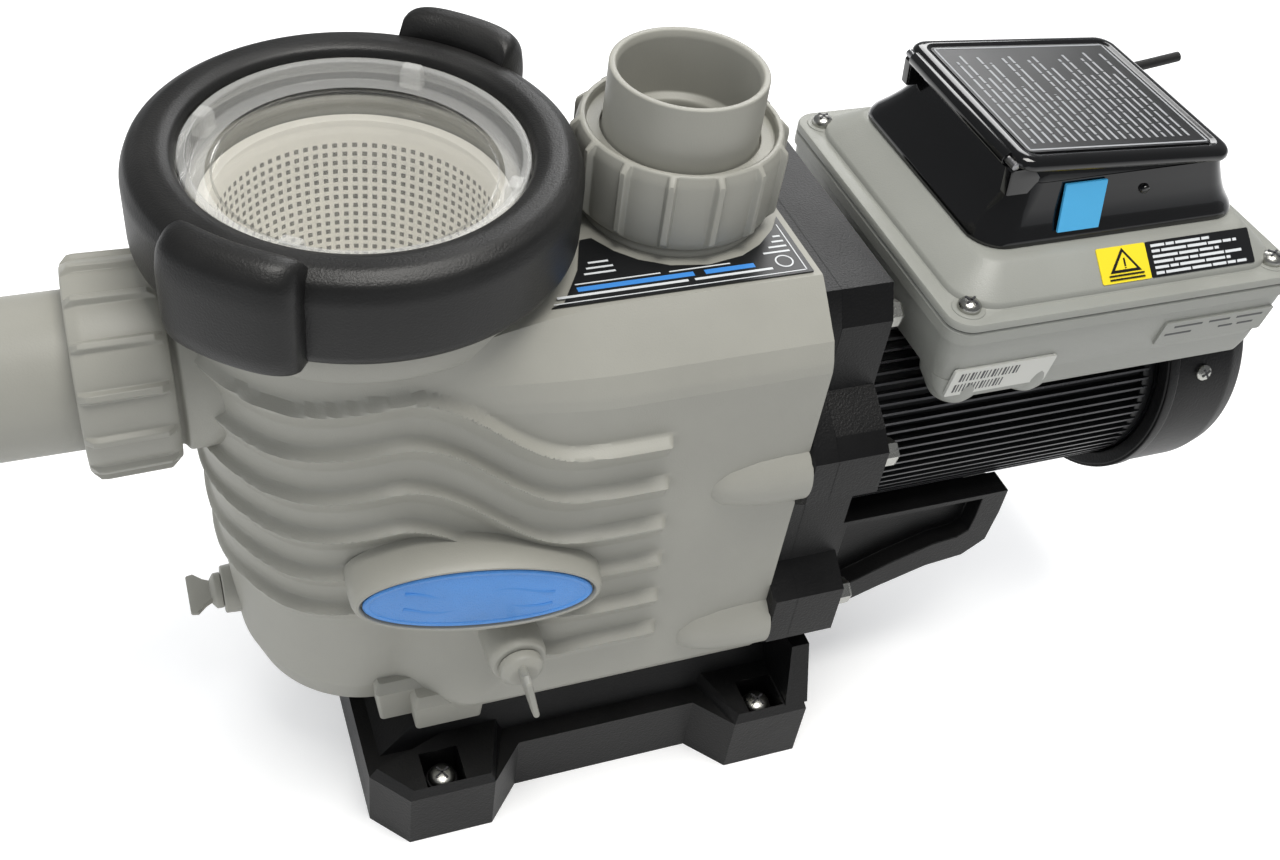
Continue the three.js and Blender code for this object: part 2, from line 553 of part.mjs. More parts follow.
const coverGroup = new THREE.Group();
coverGroup.position.set(HINGE_X, 0, HINGE_Z);
coverGroup.rotation.y = COVER_TILT;
pump.add(coverGroup);
const keypadCover = box(10, 114, -52, 52, -0.7, 4.6)
  .add(box(1, 11, -43, 43, -0.7, 3.4))
  .add(cylY(3.6, -43.4, 43.4, 0, 0, COARSE))
  .subtract(cylY(PIN_HOLE_R, -60, 60, 0, 0, COARSE));
add('keypad_cover', keypadCover, M.gloss, coverGroup);
add('cover_hinge_pin', cylY(1.9, -49.6, 49.6, HINGE_X, HINGE_Z, COARSE), M.steel);

export default pump;
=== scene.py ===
"""Pool pump: strainer bowl and wet end, motor with cooling fins, control box with keypad.

Lengths are millimetres until mesh_object scales them to metres. +Z is up and the floor is
z = 0. The strainer bowl stands on x = y = 0, the motor shaft runs along +X at y = 0, and
the badge is on the front, -Y.
"""
import json
import math
import bmesh
import bpy
import numpy as np
from mathutils import Matrix, Vector

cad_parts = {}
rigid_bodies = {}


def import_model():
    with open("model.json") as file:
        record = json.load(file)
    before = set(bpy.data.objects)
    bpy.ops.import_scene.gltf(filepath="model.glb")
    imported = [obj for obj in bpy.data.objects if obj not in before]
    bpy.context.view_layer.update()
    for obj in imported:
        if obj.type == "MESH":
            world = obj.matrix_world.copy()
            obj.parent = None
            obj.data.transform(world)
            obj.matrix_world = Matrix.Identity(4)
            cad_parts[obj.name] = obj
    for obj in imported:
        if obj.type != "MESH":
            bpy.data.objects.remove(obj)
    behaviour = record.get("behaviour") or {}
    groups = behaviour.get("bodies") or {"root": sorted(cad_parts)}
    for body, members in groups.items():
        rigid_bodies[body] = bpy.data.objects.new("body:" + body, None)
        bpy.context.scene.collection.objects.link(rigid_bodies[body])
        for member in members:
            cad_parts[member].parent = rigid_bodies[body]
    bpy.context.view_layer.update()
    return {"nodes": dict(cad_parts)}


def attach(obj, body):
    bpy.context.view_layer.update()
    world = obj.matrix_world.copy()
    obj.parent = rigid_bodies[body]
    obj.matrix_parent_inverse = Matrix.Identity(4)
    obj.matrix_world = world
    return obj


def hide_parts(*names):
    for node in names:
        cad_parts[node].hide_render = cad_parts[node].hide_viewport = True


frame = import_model()
NODES = frame["nodes"]

MM = 0.001
SHAFT_Z = 190.0
SUCTION_Z = 262.0
DISCHARGE_X = 141.0
DECK_Z = 312.0          # flat top of the housing
IDENTITY = Matrix()


def at(x, y, z):
    return Matrix.Translation((x, y, z))


def turn(degrees, axis):
    return Matrix.Rotation(math.radians(degrees), 4, axis)


# Local z points along +X, local x along +Y, local y along +Z
Z_ALONG_X = Matrix(((0, 0, 1, 0), (1, 0, 0, 0), (0, 1, 0, 0), (0, 0, 0, 1)))
SHAFT = at(0, 0, SHAFT_Z) @ Z_ALONG_X
DISCHARGE = at(DISCHARGE_X, 0, DECK_Z)
SUCTION = at(-78, 0, SUCTION_Z) @ turn(-90, "Y")
DRAIN_FRONT = at(53, -100, 130) @ turn(90, "X")
DRAIN_LEFT = at(-72, 0, 102) @ turn(-90, "Y")


# ---------------------------------------------------------------- materials
MIX_FACTOR, MIX_A, MIX_B, MIX_RESULT = 0, 6, 7, 2      # colour sockets of a Mix node


def srgb(*channels):
    """Linear colour from 0-255 sRGB channels."""
    def linear(c):
        return c / 12.92 if c <= 0.04045 else ((c + 0.055) / 1.055) ** 2.4
    return tuple(linear(c / 255) for c in channels)


def set_inputs(node, values):
    """Links a socket, or sets a plain value, on each named input."""
    for key, value in values.items():
        if isinstance(value, bpy.types.NodeSocket):
            node.id_data.links.new(value, node.inputs[key])
        else:
            node.inputs[key].default_value = value


def add_node(tree, kind, inputs=(), **settings):
    node = tree.nodes.new("ShaderNode" + kind)
    for key, value in settings.items():
        setattr(node, key, value)
    set_inputs(node, dict(inputs))
    return node


def new_material(name):
    material = bpy.data.materials.new(name)
    material.use_nodes = True
    tree = material.node_tree
    return material, tree, tree.nodes["Principled BSDF"]


def plastic(name, colour, rough, grain, bump, mottle, spec=0.5, metal=0.0, dust=0.0, coat=0.0):
    """Mottled surface with a fine grain; dust greys the faces that look up."""
    material, tree, principled = new_material(name)
    place = add_node(tree, "TexCoord").outputs["Object"]
    cloud = add_node(tree, "TexNoise", {"Vector": place, "Scale": 28.0, "Detail": 5.0})
    cloud = cloud.outputs["Fac"]
    fine = add_node(tree, "TexNoise", {"Vector": place, "Scale": grain, "Detail": 2.0})
    ramp = add_node(tree, "ValToRGB", {"Fac": cloud})
    stops = zip(ramp.color_ramp.elements, (0.3, 0.7), (1 - mottle, 1 + mottle))
    for stop, position, shade in stops:
        stop.position = position
        stop.color = (*[min(1, c * shade) for c in colour], 1)
    base = ramp.outputs["Color"]
    if dust > 0:
        normal = add_node(tree, "NewGeometry").outputs["Normal"]
        upward = add_node(tree, "SeparateXYZ", {0: normal}).outputs["Z"]
        patchy = add_node(tree, "Math", {0: upward, 1: cloud}, operation="MULTIPLY", use_clamp=True)
        amount = add_node(tree, "Math", {0: patchy.outputs[0], 1: dust},
                          operation="MULTIPLY", use_clamp=True)
        base = add_node(tree, "Mix", {
            MIX_FACTOR: amount.outputs[0], MIX_A: base, MIX_B: (0.45, 0.44, 0.42, 1),
        }, data_type="RGBA").outputs[MIX_RESULT]
    roughness = add_node(tree, "MapRange", {
        "Value": cloud, "To Min": max(0.02, rough - 0.07), "To Max": rough + 0.09})
    grain_bump = add_node(tree, "Bump", {
        "Strength": bump, "Distance": 0.0006, "Height": fine.outputs["Fac"]})
    set_inputs(principled, {
        "Base Color": base, "Roughness": roughness.outputs["Result"],
        "Normal": grain_bump.outputs["Normal"], "Metallic": metal, "Specular IOR Level": spec})
    if coat:
        set_inputs(principled, {"Coat Weight": coat, "Coat Roughness": 0.06})
    return material


GREY = plastic("housing_grey_m", srgb(150, 149, 141),
               rough=0.44, grain=1400, bump=0.16, mottle=0.035, spec=0.4)
UNION = plastic("union_grey_m", srgb(146, 145, 137),
                rough=0.42, grain=1200, bump=0.10, mottle=0.04, spec=0.4)
RING = plastic("ring_black_m", srgb(18, 18, 18),
               rough=0.42, grain=1100, bump=0.25, mottle=0.15, spec=0.38, dust=0.035)
SATIN = plastic("satin_black_m", srgb(12, 12, 13),
                rough=0.38, grain=900, bump=0.30, mottle=0.18, spec=0.26, dust=0.012)
GLOSS = plastic("gloss_black_m", srgb(9, 9, 10),
                rough=0.12, grain=300, bump=0.02, mottle=0.1, spec=0.4, coat=0.5)
BOX = plastic("box_grey_m", srgb(144, 145, 139),
              rough=0.40, grain=1500, bump=0.22, mottle=0.03, spec=0.4)
BLUE = plastic("badge_blue_m", srgb(72, 140, 214),
               rough=0.38, grain=1800, bump=0.8, mottle=0.10, coat=0.3)
BASKET_COLOUR = srgb(226, 223, 214)
BASKET_PAINTED_LIGHT = 0.34          # emission: painted light that brightens the basket inside the shaded bowl
PLAIN_BASKET = plastic("basket_plain_m", BASKET_COLOUR, rough=0.5, grain=700, bump=0.1, mottle=0.03)
# The plain basket glows too: painted light standing in for light inside the shaded bowl.
set_inputs(PLAIN_BASKET.node_tree.nodes["Principled BSDF"], {
    "Emission Color": (*BASKET_COLOUR, 1), "Emission Strength": BASKET_PAINTED_LIGHT})
RUBBER = plastic("rubber_m", srgb(20, 20, 20), rough=0.6, grain=800, bump=0.3, mottle=0.1)
ZINC = plastic("zinc_m", srgb(185, 185, 180),
               rough=0.26, grain=1600, bump=0.2, mottle=0.12, metal=1.0)
STEEL = plastic("steel_m", srgb(150, 150, 152),
                rough=0.32, grain=1200, bump=0.2, mottle=0.08, metal=1.0)
MOTOR = plastic("motor_black_m", srgb(16, 17, 18), rough=0.36, grain=1000, bump=0.3, mottle=0.15)
FIN_TIP = plastic("fin_edge_m", srgb(82, 82, 84),
                  rough=0.28, grain=1500, bump=0.3, mottle=0.3, metal=0.6)
COPPER = plastic("copper_m", srgb(150, 80, 45),
                 rough=0.35, grain=900, bump=0.3, mottle=0.1, metal=1.0)
BOARD = plastic("board_green_m", srgb(25, 90, 50), rough=0.4, grain=400, bump=0.2, mottle=0.15)
BUTTON = plastic("button_grey_m", srgb(70, 72, 76), rough=0.5, grain=900, bump=0.2, mottle=0.06)


def print_finish(name, colour, rough, mottle):
    """Plastic for labels, stickers and print, all with the same faint grain."""
    return plastic(name, srgb(*colour), rough=rough, grain=1500, bump=0.05, mottle=mottle)


LABEL = print_finish("label_black_m", (16, 17, 19), rough=0.34, mottle=0.05)
WHITE = print_finish("print_white_m", (205, 208, 210), rough=0.5, mottle=0.03)
PAPER = print_finish("sticker_white_m", (196, 196, 190), rough=0.45, mottle=0.03)
# Dark print on stickers, and also the painted shade of the cross recess in screw heads.
DARK_PRINT_AND_SHADE = print_finish("print_dark_and_shade_m", (60, 60, 62), rough=0.5, mottle=0.05)
YELLOW = print_finish("sticker_yellow_m", (232, 210, 30), rough=0.4, mottle=0.03)
SKY = print_finish("sticker_blue_m", (70, 170, 222), rough=0.35, mottle=0.04)
BLUE_PRINT = print_finish("print_blue_m", (58, 130, 205), rough=0.4, mottle=0.05)


def mix_to_surface(tree, factor, first, second):
    mix = add_node(tree, "MixShader", {0: factor, 1: first.outputs[0], 2: second.outputs[0]})
    set_inputs(tree.nodes["Material Output"], {"Surface": mix.outputs[0]})


def clear_material():
    """Thin clear plastic: see-through, with a reflection that grows at grazing angles."""
    material, tree, principled = new_material("clear_polycarbonate_m")
    tree.nodes.remove(principled)
    through = add_node(tree, "BsdfTransparent", {0: (0.985, 0.985, 0.98, 1)})
    shine = add_node(tree, "BsdfGlossy", {"Roughness": 0.06, "Color": (1, 1, 1, 1)})
    fresnel = add_node(tree, "Fresnel", {"IOR": 1.55})
    share = add_node(tree, "MapRange", {
        "Value": fresnel.outputs[0], "To Min": 0.0, "To Max": 0.42})
    mix_to_surface(tree, share.outputs["Result"], through, shine)
    return material


def frost_material():
    """Clear plastic with a milky share, for the rim of the lid."""
    material, tree, principled = new_material("clear_edge_m")
    through = add_node(tree, "BsdfTransparent", {0: (0.98, 0.98, 0.975, 1)})
    set_inputs(principled, {"Base Color": (0.72, 0.72, 0.70, 1), "Roughness": 0.16})
    mix_to_surface(tree, 0.30, through, principled)
    return material


def basket_material():
    """A grid of sunken squares, painted dark as the shade in each hole, one in each unit of the UV
    map.
    """
    material, tree, principled = new_material("basket_grid_m")

    def vector_math(operation, source, *operand):
        inputs = dict(enumerate((source, *operand)))
        return add_node(tree, "VectorMath", inputs, operation=operation).outputs[0]

    uv = add_node(tree, "UVMap", uv_map="UVMap").outputs[0]
    cell = vector_math("FRACTION", vector_math("MULTIPLY", uv, (1, 1, 0)))
    offset = vector_math("ABSOLUTE", vector_math("SUBTRACT", cell, (0.5, 0.5, 0)))
    axes = add_node(tree, "SeparateXYZ", {0: offset})
    inside = [add_node(tree, "Math", {0: axes.outputs[axis], 1: 0.25},
                       operation="LESS_THAN").outputs[0] for axis in "XY"]
    hole = add_node(tree, "Math", dict(enumerate(inside)), operation="MULTIPLY").outputs[0]
    # The holes get a darker colour: painted shade for the depth of each hole.
    colour = add_node(tree, "Mix", {
        MIX_FACTOR: hole, MIX_A: (*BASKET_COLOUR, 1), MIX_B: (*srgb(92, 90, 83), 1),
    }, data_type="RGBA").outputs[MIX_RESULT]
    sunk = add_node(tree, "Bump", {"Strength": 0.8, "Distance": 0.002, "Height": hole}, invert=True)
    # Emission is painted light that brightens the basket inside the shaded bowl.
    set_inputs(principled, {
        "Base Color": colour, "Emission Color": colour, "Emission Strength": BASKET_PAINTED_LIGHT,
        "Roughness": 0.5, "Normal": sunk.outputs["Normal"]})
    return material


CLEAR = clear_material()
FROST = frost_material()
BASKET_GRID = basket_material()


# ---------------------------------------------------------------- mesh tools
def mesh_object(name, verts, faces, material, matrix=IDENTITY, smooth=35):
    """Object from millimetre points; edges sharper than `smooth` degrees stay sharp."""
    mesh = bpy.data.meshes.new(name)
    points = np.asarray(verts, float)
    points = points @ np.array(matrix.to_3x3()).T + np.array(matrix.translation)
    mesh.from_pydata([tuple(p) for p in points * MM], [], [tuple(f) for f in faces])
    work = bmesh.new()
    work.from_mesh(mesh)
    bmesh.ops.remove_doubles(work, verts=work.verts, dist=1e-6)
    bmesh.ops.recalc_face_normals(work, faces=work.faces)
    work.to_mesh(mesh)
    work.free()
    mesh.materials.append(material)
    for face in mesh.polygons:
        face.use_smooth = True
    mesh.set_sharp_from_angle(angle=math.radians(smooth))
    piece = bpy.data.objects.new(name, mesh)
    bpy.context.scene.collection.objects.link(piece)
    return piece


def register(piece, replaces=None, body="root"):
    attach(piece, body)
    if replaces:
        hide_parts(replaces)


def bevel(piece, width, segments, angle):
    modifier = piece.modifiers.new("bevel", "BEVEL")
    modifier.width = width * MM
    modifier.segments = segments
    modifier.limit_method = "ANGLE"
    modifier.angle_limit = math.radians(angle)
    modifier.harden_normals = True


def lathe(name, profile, material, matrix=IDENTITY, segments=96, smooth=35):
    """Turns an [r, z] profile about z; one that leaves the axis closes on itself."""
    closed = profile[0][0] > 0 or profile[-1][0] > 0
    n = len(profile)
    verts, faces = [], []
    for i in range(segments):
        a = 2 * math.pi * i / segments
        verts += [(r * math.cos(a), r * math.sin(a), z) for r, z in profile]
    for i in range(segments):
        j = (i + 1) % segments
        for k in range(n if closed else n - 1):
            q = (k + 1) % n
            if profile[k][0] == 0:
                faces.append([i * n + k, j * n + q, i * n + q])
            elif profile[q][0] == 0:
                faces.append([i * n + k, j * n + k, i * n + q])
            else:
                faces.append([i * n + k, j * n + k, j * n + q, i * n + q])
    return mesh_object(name, verts, faces, material, matrix, smooth)


def rounded(profile, radius=1.0, steps=3):
    """Rounds the corners of an [r, z] profile that closes on itself or ends on the axis."""
    closed = profile[0][0] > 0 or profile[-1][0] > 0
    last = len(profile) - 1
    result = []
    for i, point in enumerate(profile):
        if not closed and i in (0, last):
            result.append(point)
            continue
        corner = Vector(point)
        back = Vector(profile[i - 1]) - corner
        ahead = Vector(profile[(i + 1) % (last + 1)]) - corner
        cut = min(radius, back.length * 0.4, ahead.length * 0.4)
        straight = cut >= 1e-6 and back.normalized().dot(ahead.normalized()) < -0.995
        if corner.x == 0 or cut < 1e-6 or straight:
            result.append(point)
            continue
        start = corner + back.normalized() * cut
        end = corner + ahead.normalized() * cut
        for k in range(steps + 1):
            t = k / steps
            p = start * (1 - t) ** 2 + corner * 2 * t * (1 - t) + end * t * t
            result.append((p.x, p.y))
    return result


def rounded_rect(x0, x1, y0, y1, r, steps=6):
    corners = ((x1 - r, y1 - r, 0), (x0 + r, y1 - r, 90),
               (x0 + r, y0 + r, 180), (x1 - r, y0 + r, 270))
    points = []
    for cx, cy, first in corners:
        for k in range(steps + 1):
            a = math.radians(first + 90 * k / steps)
            points.append((cx + r * math.cos(a), cy + r * math.sin(a)))
    return points


def loft(name, levels, material, matrix=IDENTITY, smooth=35):
    """Skins a list of equally long point loops and caps both ends."""
    n, last = len(levels[0]), len(levels) - 1
    faces = []
    for i in range(last):
        for j in range(n):
            q = (j + 1) % n
            faces.append([i * n + j, i * n + q, (i + 1) * n + q, (i + 1) * n + j])
    faces.append(list(range(n))[::-1])
    faces.append([last * n + j for j in range(n)])
    return mesh_object(name, [p for level in levels for p in level], faces,
                       material, matrix, smooth)


def prism(name, outline, heights, material, matrix=IDENTITY, smooth=35):
    """A flat outline carried from one height to the next."""
    return loft(name, [[(x, y, z) for x, y in outline] for z in heights], material, matrix, smooth)


def rounded_box(name, levels, material, matrix=IDENTITY, steps=6):
    """levels: (z, x0, x1, y0, y1, corner radius)."""
    return loft(name, [[(x, y, z) for x, y in rounded_rect(*rect, steps)]
                       for z, *rect in levels], material, matrix)


def inset_levels(rows, x0, x1, y0, y1):
    """rounded_box levels from (z, inset, corner radius) rows."""
    return [(z, x0 + d, x1 - d, y0 + d, y1 - d, r) for z, d, r in rows]


def patch(name, bottom, top, rect, material, matrix):
    """Flat sticker; rect is (x0, x1, y0, y1, corner radius)."""
    return rounded_box(name, [(bottom, *rect), (top, *rect)], material, matrix, 3)


def join(pieces, name):
    bpy.context.view_layer.update()
    for other in bpy.context.view_layer.objects:
        other.select_set(False)
    for piece in pieces:
        piece.select_set(True)
    bpy.context.view_layer.objects.active = pieces[0]
    bpy.ops.object.join()
    pieces[0].name = name
    return pieces[0]


PRINT_RISE = 0.12


def plates(name, boxes, material, matrix):
    """Thin flat print marks, (x0, x1, y0, y1), standing on z = 0 of the matrix."""
    verts, faces = [], []
    for x0, x1, y0, y1 in boxes:
        b = len(verts)
        corners = ((x0, y0), (x1, y0), (x1, y1), (x0, y1))
        verts += [(x, y, z) for z in (0, PRINT_RISE) for x, y in corners]
        faces += [[b, b + 3, b + 2, b + 1], [b + 4, b + 5, b + 6, b + 7]]
        for k in range(4):
            q = (k + 1) % 4
            faces.append([b + k, b + q, b + 4 + q, b + 4 + k])
    return mesh_object(name, verts, faces, material, matrix, 30)


def dashes(start, length, shortest, step, gap, row, row_stride, dash_stride):
    """(from, to) spans of one broken print line; lengths cycle through four sizes."""
    end = start + length
    spans = []
    while start < end:
        size = (row * row_stride + len(spans) * dash_stride) % 4
        stop = min(end, start + shortest + step * size)
        spans.append((start, stop))
        start = stop + gap
    return spans


def smoothstep(a, b, x):
    t = np.clip((np.asarray(x, float) - a) / (b - a), 0, 1)
    return t * t * (3 - 2 * t)


def span(side, inner, outer):
    """(low y, high y) of a block at inner..outer from the middle, on side -1 or +1."""
    return (inner, outer) if side > 0 else (-outer, -inner)


# ---------------------------------------------------------------- housing skin
# Radius of the bowl end by height
BOWL_Z = [50, 54, 60, 66, 84, 140, 230, 300, 312]
BOWL_R = [44, 49, 54, 58, 64, 69, 74.5, 78, 78]
# Half width of the flanged end by height
FLANGED_Z = [66, 70, 78, 86, 278, 283, 292, 308, 312]
FLANGED_HALF = [70, 77, 84, 88, 90, 89, 85, 68.5, 64]
FLANGE_X = 187.5
RIB_Z = [255, 229, 202, 176, 149, 123]
SHARP_Z = (0.278, 0.292, 0.312)         # metres: the edges of the shoulder and deck
SKIN_LEVELS = np.unique(np.concatenate([
    np.linspace(66, 86, 10), np.linspace(87.2, 277, 250), [278.0],
    np.linspace(279.5, 290.5, 9), [292.0], np.linspace(294, 312, 9)]))


def rib_relief(along, z):
    """How far the ribs stand out; along is x on the sides and minus the arc on the bowl."""
    rise = (34 * (1 - smoothstep(-6, 78, along))
            + 4.5 * math.sin((along + 18) / 21.0)
            * (1 - smoothstep(30, 90, along)) * smoothstep(-110, -40, along))
    droop = 6 * smoothstep(60, 110, -along)
    relief = np.zeros_like(z)
    for i, rib_z in enumerate(RIB_Z):
        crest = rib_z + rise - droop
        if crest > 303:
            continue
        end = 116 + 2.0 * i
        height = (6.4 * (1 - smoothstep(end - 2.0, end + 1.5, along))
                  * (1 - 0.55 * smoothstep(40, 116, -along)))
        below = crest - z
        shape = np.where(below >= 0, np.clip(1 - below / 12.5, 0, 1) ** 1.25,
                         smoothstep(-3.4, 0.4, below))
        relief = np.maximum(relief, height * shape)
    return relief * smoothstep(84, 100, z) * (1 - smoothstep(293, 300, z))


def skin_grid(z):
    """Points [level, column]: flange, along the -Y side, round the bowl, back on +Y."""
    bowl = np.interp(z, BOWL_Z, BOWL_R)
    flanged = np.interp(z, FLANGED_Z, FLANGED_HALF)
    blend_end = 36 + 59 * smoothstep(78, 150, z)

    def side_column(x, side):
        wall = bowl + (flanged - bowl) * smoothstep(0, blend_end, x)
        wall = np.maximum(wall, np.sqrt(np.maximum(0, bowl ** 2 - x * x)))
        y = side * (wall + rib_relief(x, z))
        return np.stack([np.full_like(z, x), y, z], axis=1)

    def bowl_column(degrees):
        a = math.radians(degrees)
        swept = math.radians(degrees + 90 if degrees > -180 else -270 - degrees)
        r = bowl + rib_relief(-abs(swept) * 74.0, z)
        return np.stack([r * math.cos(a), r * math.sin(a), z], axis=1)

    xs = np.linspace(FLANGE_X, 0, 160)
    columns = [side_column(x, -1) for x in xs]
    columns += [bowl_column(degrees) for degrees in np.linspace(-90, -270, 120)[1:-1]]
    columns += [side_column(x, 1) for x in xs[::-1]]
    return np.stack(columns, axis=1)


def deck_point(x, y):
    """Inner edge of the deck: the middle line, or a circle inside the bowl wall."""
    if x > 76.5:
        return (x, 0, DECK_Z)
    r = math.hypot(x, y)
    deck_x = x * 76 / max(r, 77.9) if x > 0 else x * 76 / r
    return (deck_x, math.sqrt(max(0, 76 * 76 - deck_x * deck_x)) * (1 if y > 0 else -1), DECK_Z)


def housing_skin():
    grid = skin_grid(SKIN_LEVELS)
    rows, cols = grid.shape[:2]
    verts = [tuple(p) for p in grid.reshape(-1, 3)]
    faces = [[i * cols + j, (i + 1) * cols + j, (i + 1) * cols + j + 1, i * cols + j + 1]
             for i in range(rows - 1) for j in range(cols - 1)]
    top = (rows - 1) * cols
    deck = len(verts)
    verts += [deck_point(x, y) for x, y, _ in verts[top:]]
    faces += [[top + j, deck + j, deck + j + 1, top + j + 1] for j in range(cols - 1)]
    under = len(verts)
    verts += [(x, y * 0.35, 64) for x, y, _ in verts[:cols]]
    faces += [[j, j + 1, under + j + 1, under + j] for j in range(cols - 1)]
    # Flange face, between the first and the last column
    for i in range(rows - 1):
        faces.append([i * cols, (i + 1) * cols - 1, (i + 2) * cols - 1, (i + 1) * cols])
    skin = mesh_object("housing_skin", verts, faces, GREY, smooth=42)
    mesh = skin.data
    for edge in mesh.edges:
        a, b = (mesh.vertices[i].co for i in edge.vertices)
        level = a.x > 0.03 and b.x > 0.03 and abs(a.z - b.z) < 1e-5
        if level and min(abs(a.z - z) for z in SHARP_Z) < 1e-5:
            edge.use_edge_sharp = True
    return skin


# ---------------------------------------------------------------- housing
BADGE = (at(33, -90, 180) @ turn(math.degrees(-0.097), "Z")
         @ turn(math.degrees(0.078), "Y") @ turn(90, "X"))


def oval(half_x, half_y, z, n=96):
    return [(half_x * math.cos(2 * math.pi * k / n), half_y * math.sin(2 * math.pi * k / n), z)
            for k in range(n)]


# (r, z) up the outside of the bowl, over the lip and down the inside
BOWL = [
    (0, 50), (26, 50), (36, 52), (46, 57), (53, 64), (58, 74), (61.5, 86), (67.5, 140),
    (73, 230), (76.8, 300), (78, 306), (78, 339), (77, 340), (67, 340), (66, 339), (66, 300),
    (65, 230), (60, 140), (55, 90), (46, 68), (30, 58), (0, 58)]
BOWL_RIM = [(70, 300), (81.5, 304), (82.5, 312), (82.5, 319), (70, 319)]
SIDE_BOSS = [(0, 138), (5, 139), (10, 142), (14, 149), (17, 162), (18, 175), (18, 188), (0, 188)]
# Oval dish round the badge: half length, half height, height off the wall
BEZEL = [
    (58, 22.8, -14), (57.8, 22.7, -2), (57.0, 22.3, 4.2), (56.2, 21.7, 6.6), (55.0, 21.2, 7.8),
    (53.8, 20.2, 7.8), (53, 19.4, 6.2), (52.8, 19.2, 4.9)]

parts = [
    housing_skin(),
    lathe("bowl", BOWL, GREY, segments=128),
    lathe("bowl_rim", rounded(BOWL_RIM, 2, 4), GREY, segments=128)]
for name, mount, depth in (("neck_d", DISCHARGE, -8), ("neck_s", SUCTION, -42)):
    neck = [(26, depth), (41, depth), (41, 1.5), (38, 3.5), (38, 26), (26, 26)]
    parts.append(lathe(name, rounded(neck, 1.2), GREY, mount, 72))
for side in (-1, 1):
    for z in (214, 106):
        parts.append(lathe("boss", SIDE_BOSS, GREY, at(0, side * 80, z) @ Z_ALONG_X, 48, 30))
# Stepped blocks low on both sides; rows are z, x0, x1, outer y
STEPS = {
    "step_a": [(60, -6, 30, 68), (86, -9, 30, 72), (90, -7, 30, 68)],
    "step_b": [(60, 10, 44, 78), (82, 8, 44, 82), (86, 10, 44, 78)]}
for side in (-1, 1):
    for name, rows in STEPS.items():
        levels = [(z, x0, x1, *span(side, 50, outer), 2) for z, x0, x1, outer in rows]
        parts.append(rounded_box(name, levels, GREY))
parts += [
    lathe("drain_boss_f", rounded([(7.4, -24), (14, -24), (14, -3), (13, 0), (7.4, 0)]),
          GREY, DRAIN_FRONT, 48),
    lathe("drain_boss_l", rounded([(7.4, -16), (13, -16), (12, 0), (7.4, 0)]),
          GREY, DRAIN_LEFT, 48),
    loft("bezel", [oval(*row) for row in BEZEL], GREY, BADGE)]
register(join(parts, "pump_housing_skin"), "pump_housing")

# Layer of the seal plate against the flange: (y, z) down the +Y side, then mirrored
PLATE_SIDE = [(62, 300), (70, 284), (70, 246), (88, 234), (96, 226), (96, 200), (80, 184),
              (80, 140), (96, 128), (96, 96), (86, 84)]
PLATE = PLATE_SIDE + [(-y, z) for y, z in PLATE_SIDE[::-1]]
PLATE_MID_Z = 192
PLATE_LEVELS = ((187.2, 0.975), (188.6, 1.0), (200.6, 1.0))     # x, scale of the outline
plate = loft("plate_front", [
    [(x, y * scale, PLATE_MID_Z + (z - PLATE_MID_Z) * scale) for y, z in PLATE]
    for x, scale in PLATE_LEVELS], SATIN, smooth=30)
register(plate)

# ---------------------------------------------------------------- badge
DOME_X, DOME_Y, DOME_BASE = 48.9, 15.7, 7.1
BADGE_RIM = [(52, 18.5, 5.4), (52, 18.5, 6.9), (51, 17.6, 7.6), (49.5, 16.2, 7.5),
             (DOME_X, DOME_Y, DOME_BASE)]
levels = [oval(*row) for row in BADGE_RIM]
for t in (0.9, 0.75, 0.5, 0.25, 0.02):
    levels.append(oval(DOME_X * t, DOME_Y * t, DOME_BASE + 1.2 * (1 - t * t)))
register(loft("badge_oval", levels, BLUE, BADGE), "name_badge")


def ribbon(name, path, half_width, z, material, matrix):
    """Raised strip along an (x, y) path, highest on its middle line."""
    levels = []
    for i, (x, y) in enumerate(path):
        before, after = path[max(0, i - 1)], path[min(len(path) - 1, i + 1)]
        dx, dy = after[0] - before[0], after[1] - before[1]
        length = math.hypot(dx, dy)
        nx, ny = -dy / length * half_width, dx / length * half_width
        levels.append([
            (x + nx, y + ny, z - 0.6), (x + nx, y + ny, z + 0.3), (x, y, z + 0.5),
            (x - nx, y - ny, z + 0.3), (x - nx, y - ny, z - 0.6)])
    return loft(name, levels, material, matrix, 50)


for k, wave_y in enumerate((4.5, -4.5)):
    path = [(x, wave_y + 2.2 * math.sin(x / 7.0 + k)) for x in np.linspace(-34, 34, 60)]
    register(ribbon("badge_wave_%d" % (k + 1), path, 0.9, 7.6, BLUE_PRINT, BADGE))

# ---------------------------------------------------------------- deck label
# (x, y) outline, cut away round the discharge union and the bowl
DECK_LABEL = [
    (66, -62), (184, -62), (184, -22), (181, -27), (178, -31), (168, -40), (157.6, -45.6),
    (141, -48.5), (124.4, -45.6), (112, -39), (103.8, -31.2), (97, -20.5), (91.5, -21),
    (84.5, -40), (72, -60)]
DECK_PRINT = [
    (67.5, 181.5, -60.6, -60.1), (181.1, 181.6, -60.6, -28), (167, 179.5, -47, -45.9),
    (171, 179.5, -43.5, -42.4), (174, 179.5, -40, -38.9), (176, 179.5, -36.5, -35.4),
    (86, 100, -44.5, -43.4), (88, 100, -41, -39.9), (90, 99, -37.5, -36.4),
    (70, 128, -57.4, -56.0), (131, 167, -57.4, -56.0), (80, 118, -50.0, -49.3),
    (122, 150, -50.0, -49.3)]
LABEL_TOP = DECK_Z + 1.0
label = prism("deck_label", DECK_LABEL, (0, 0.6), LABEL, at(0, 0, DECK_Z + 0.4), 30)
register(label, "housing_label")
register(plates("deck_label_print", DECK_PRINT, WHITE, at(0, 0, LABEL_TOP)))
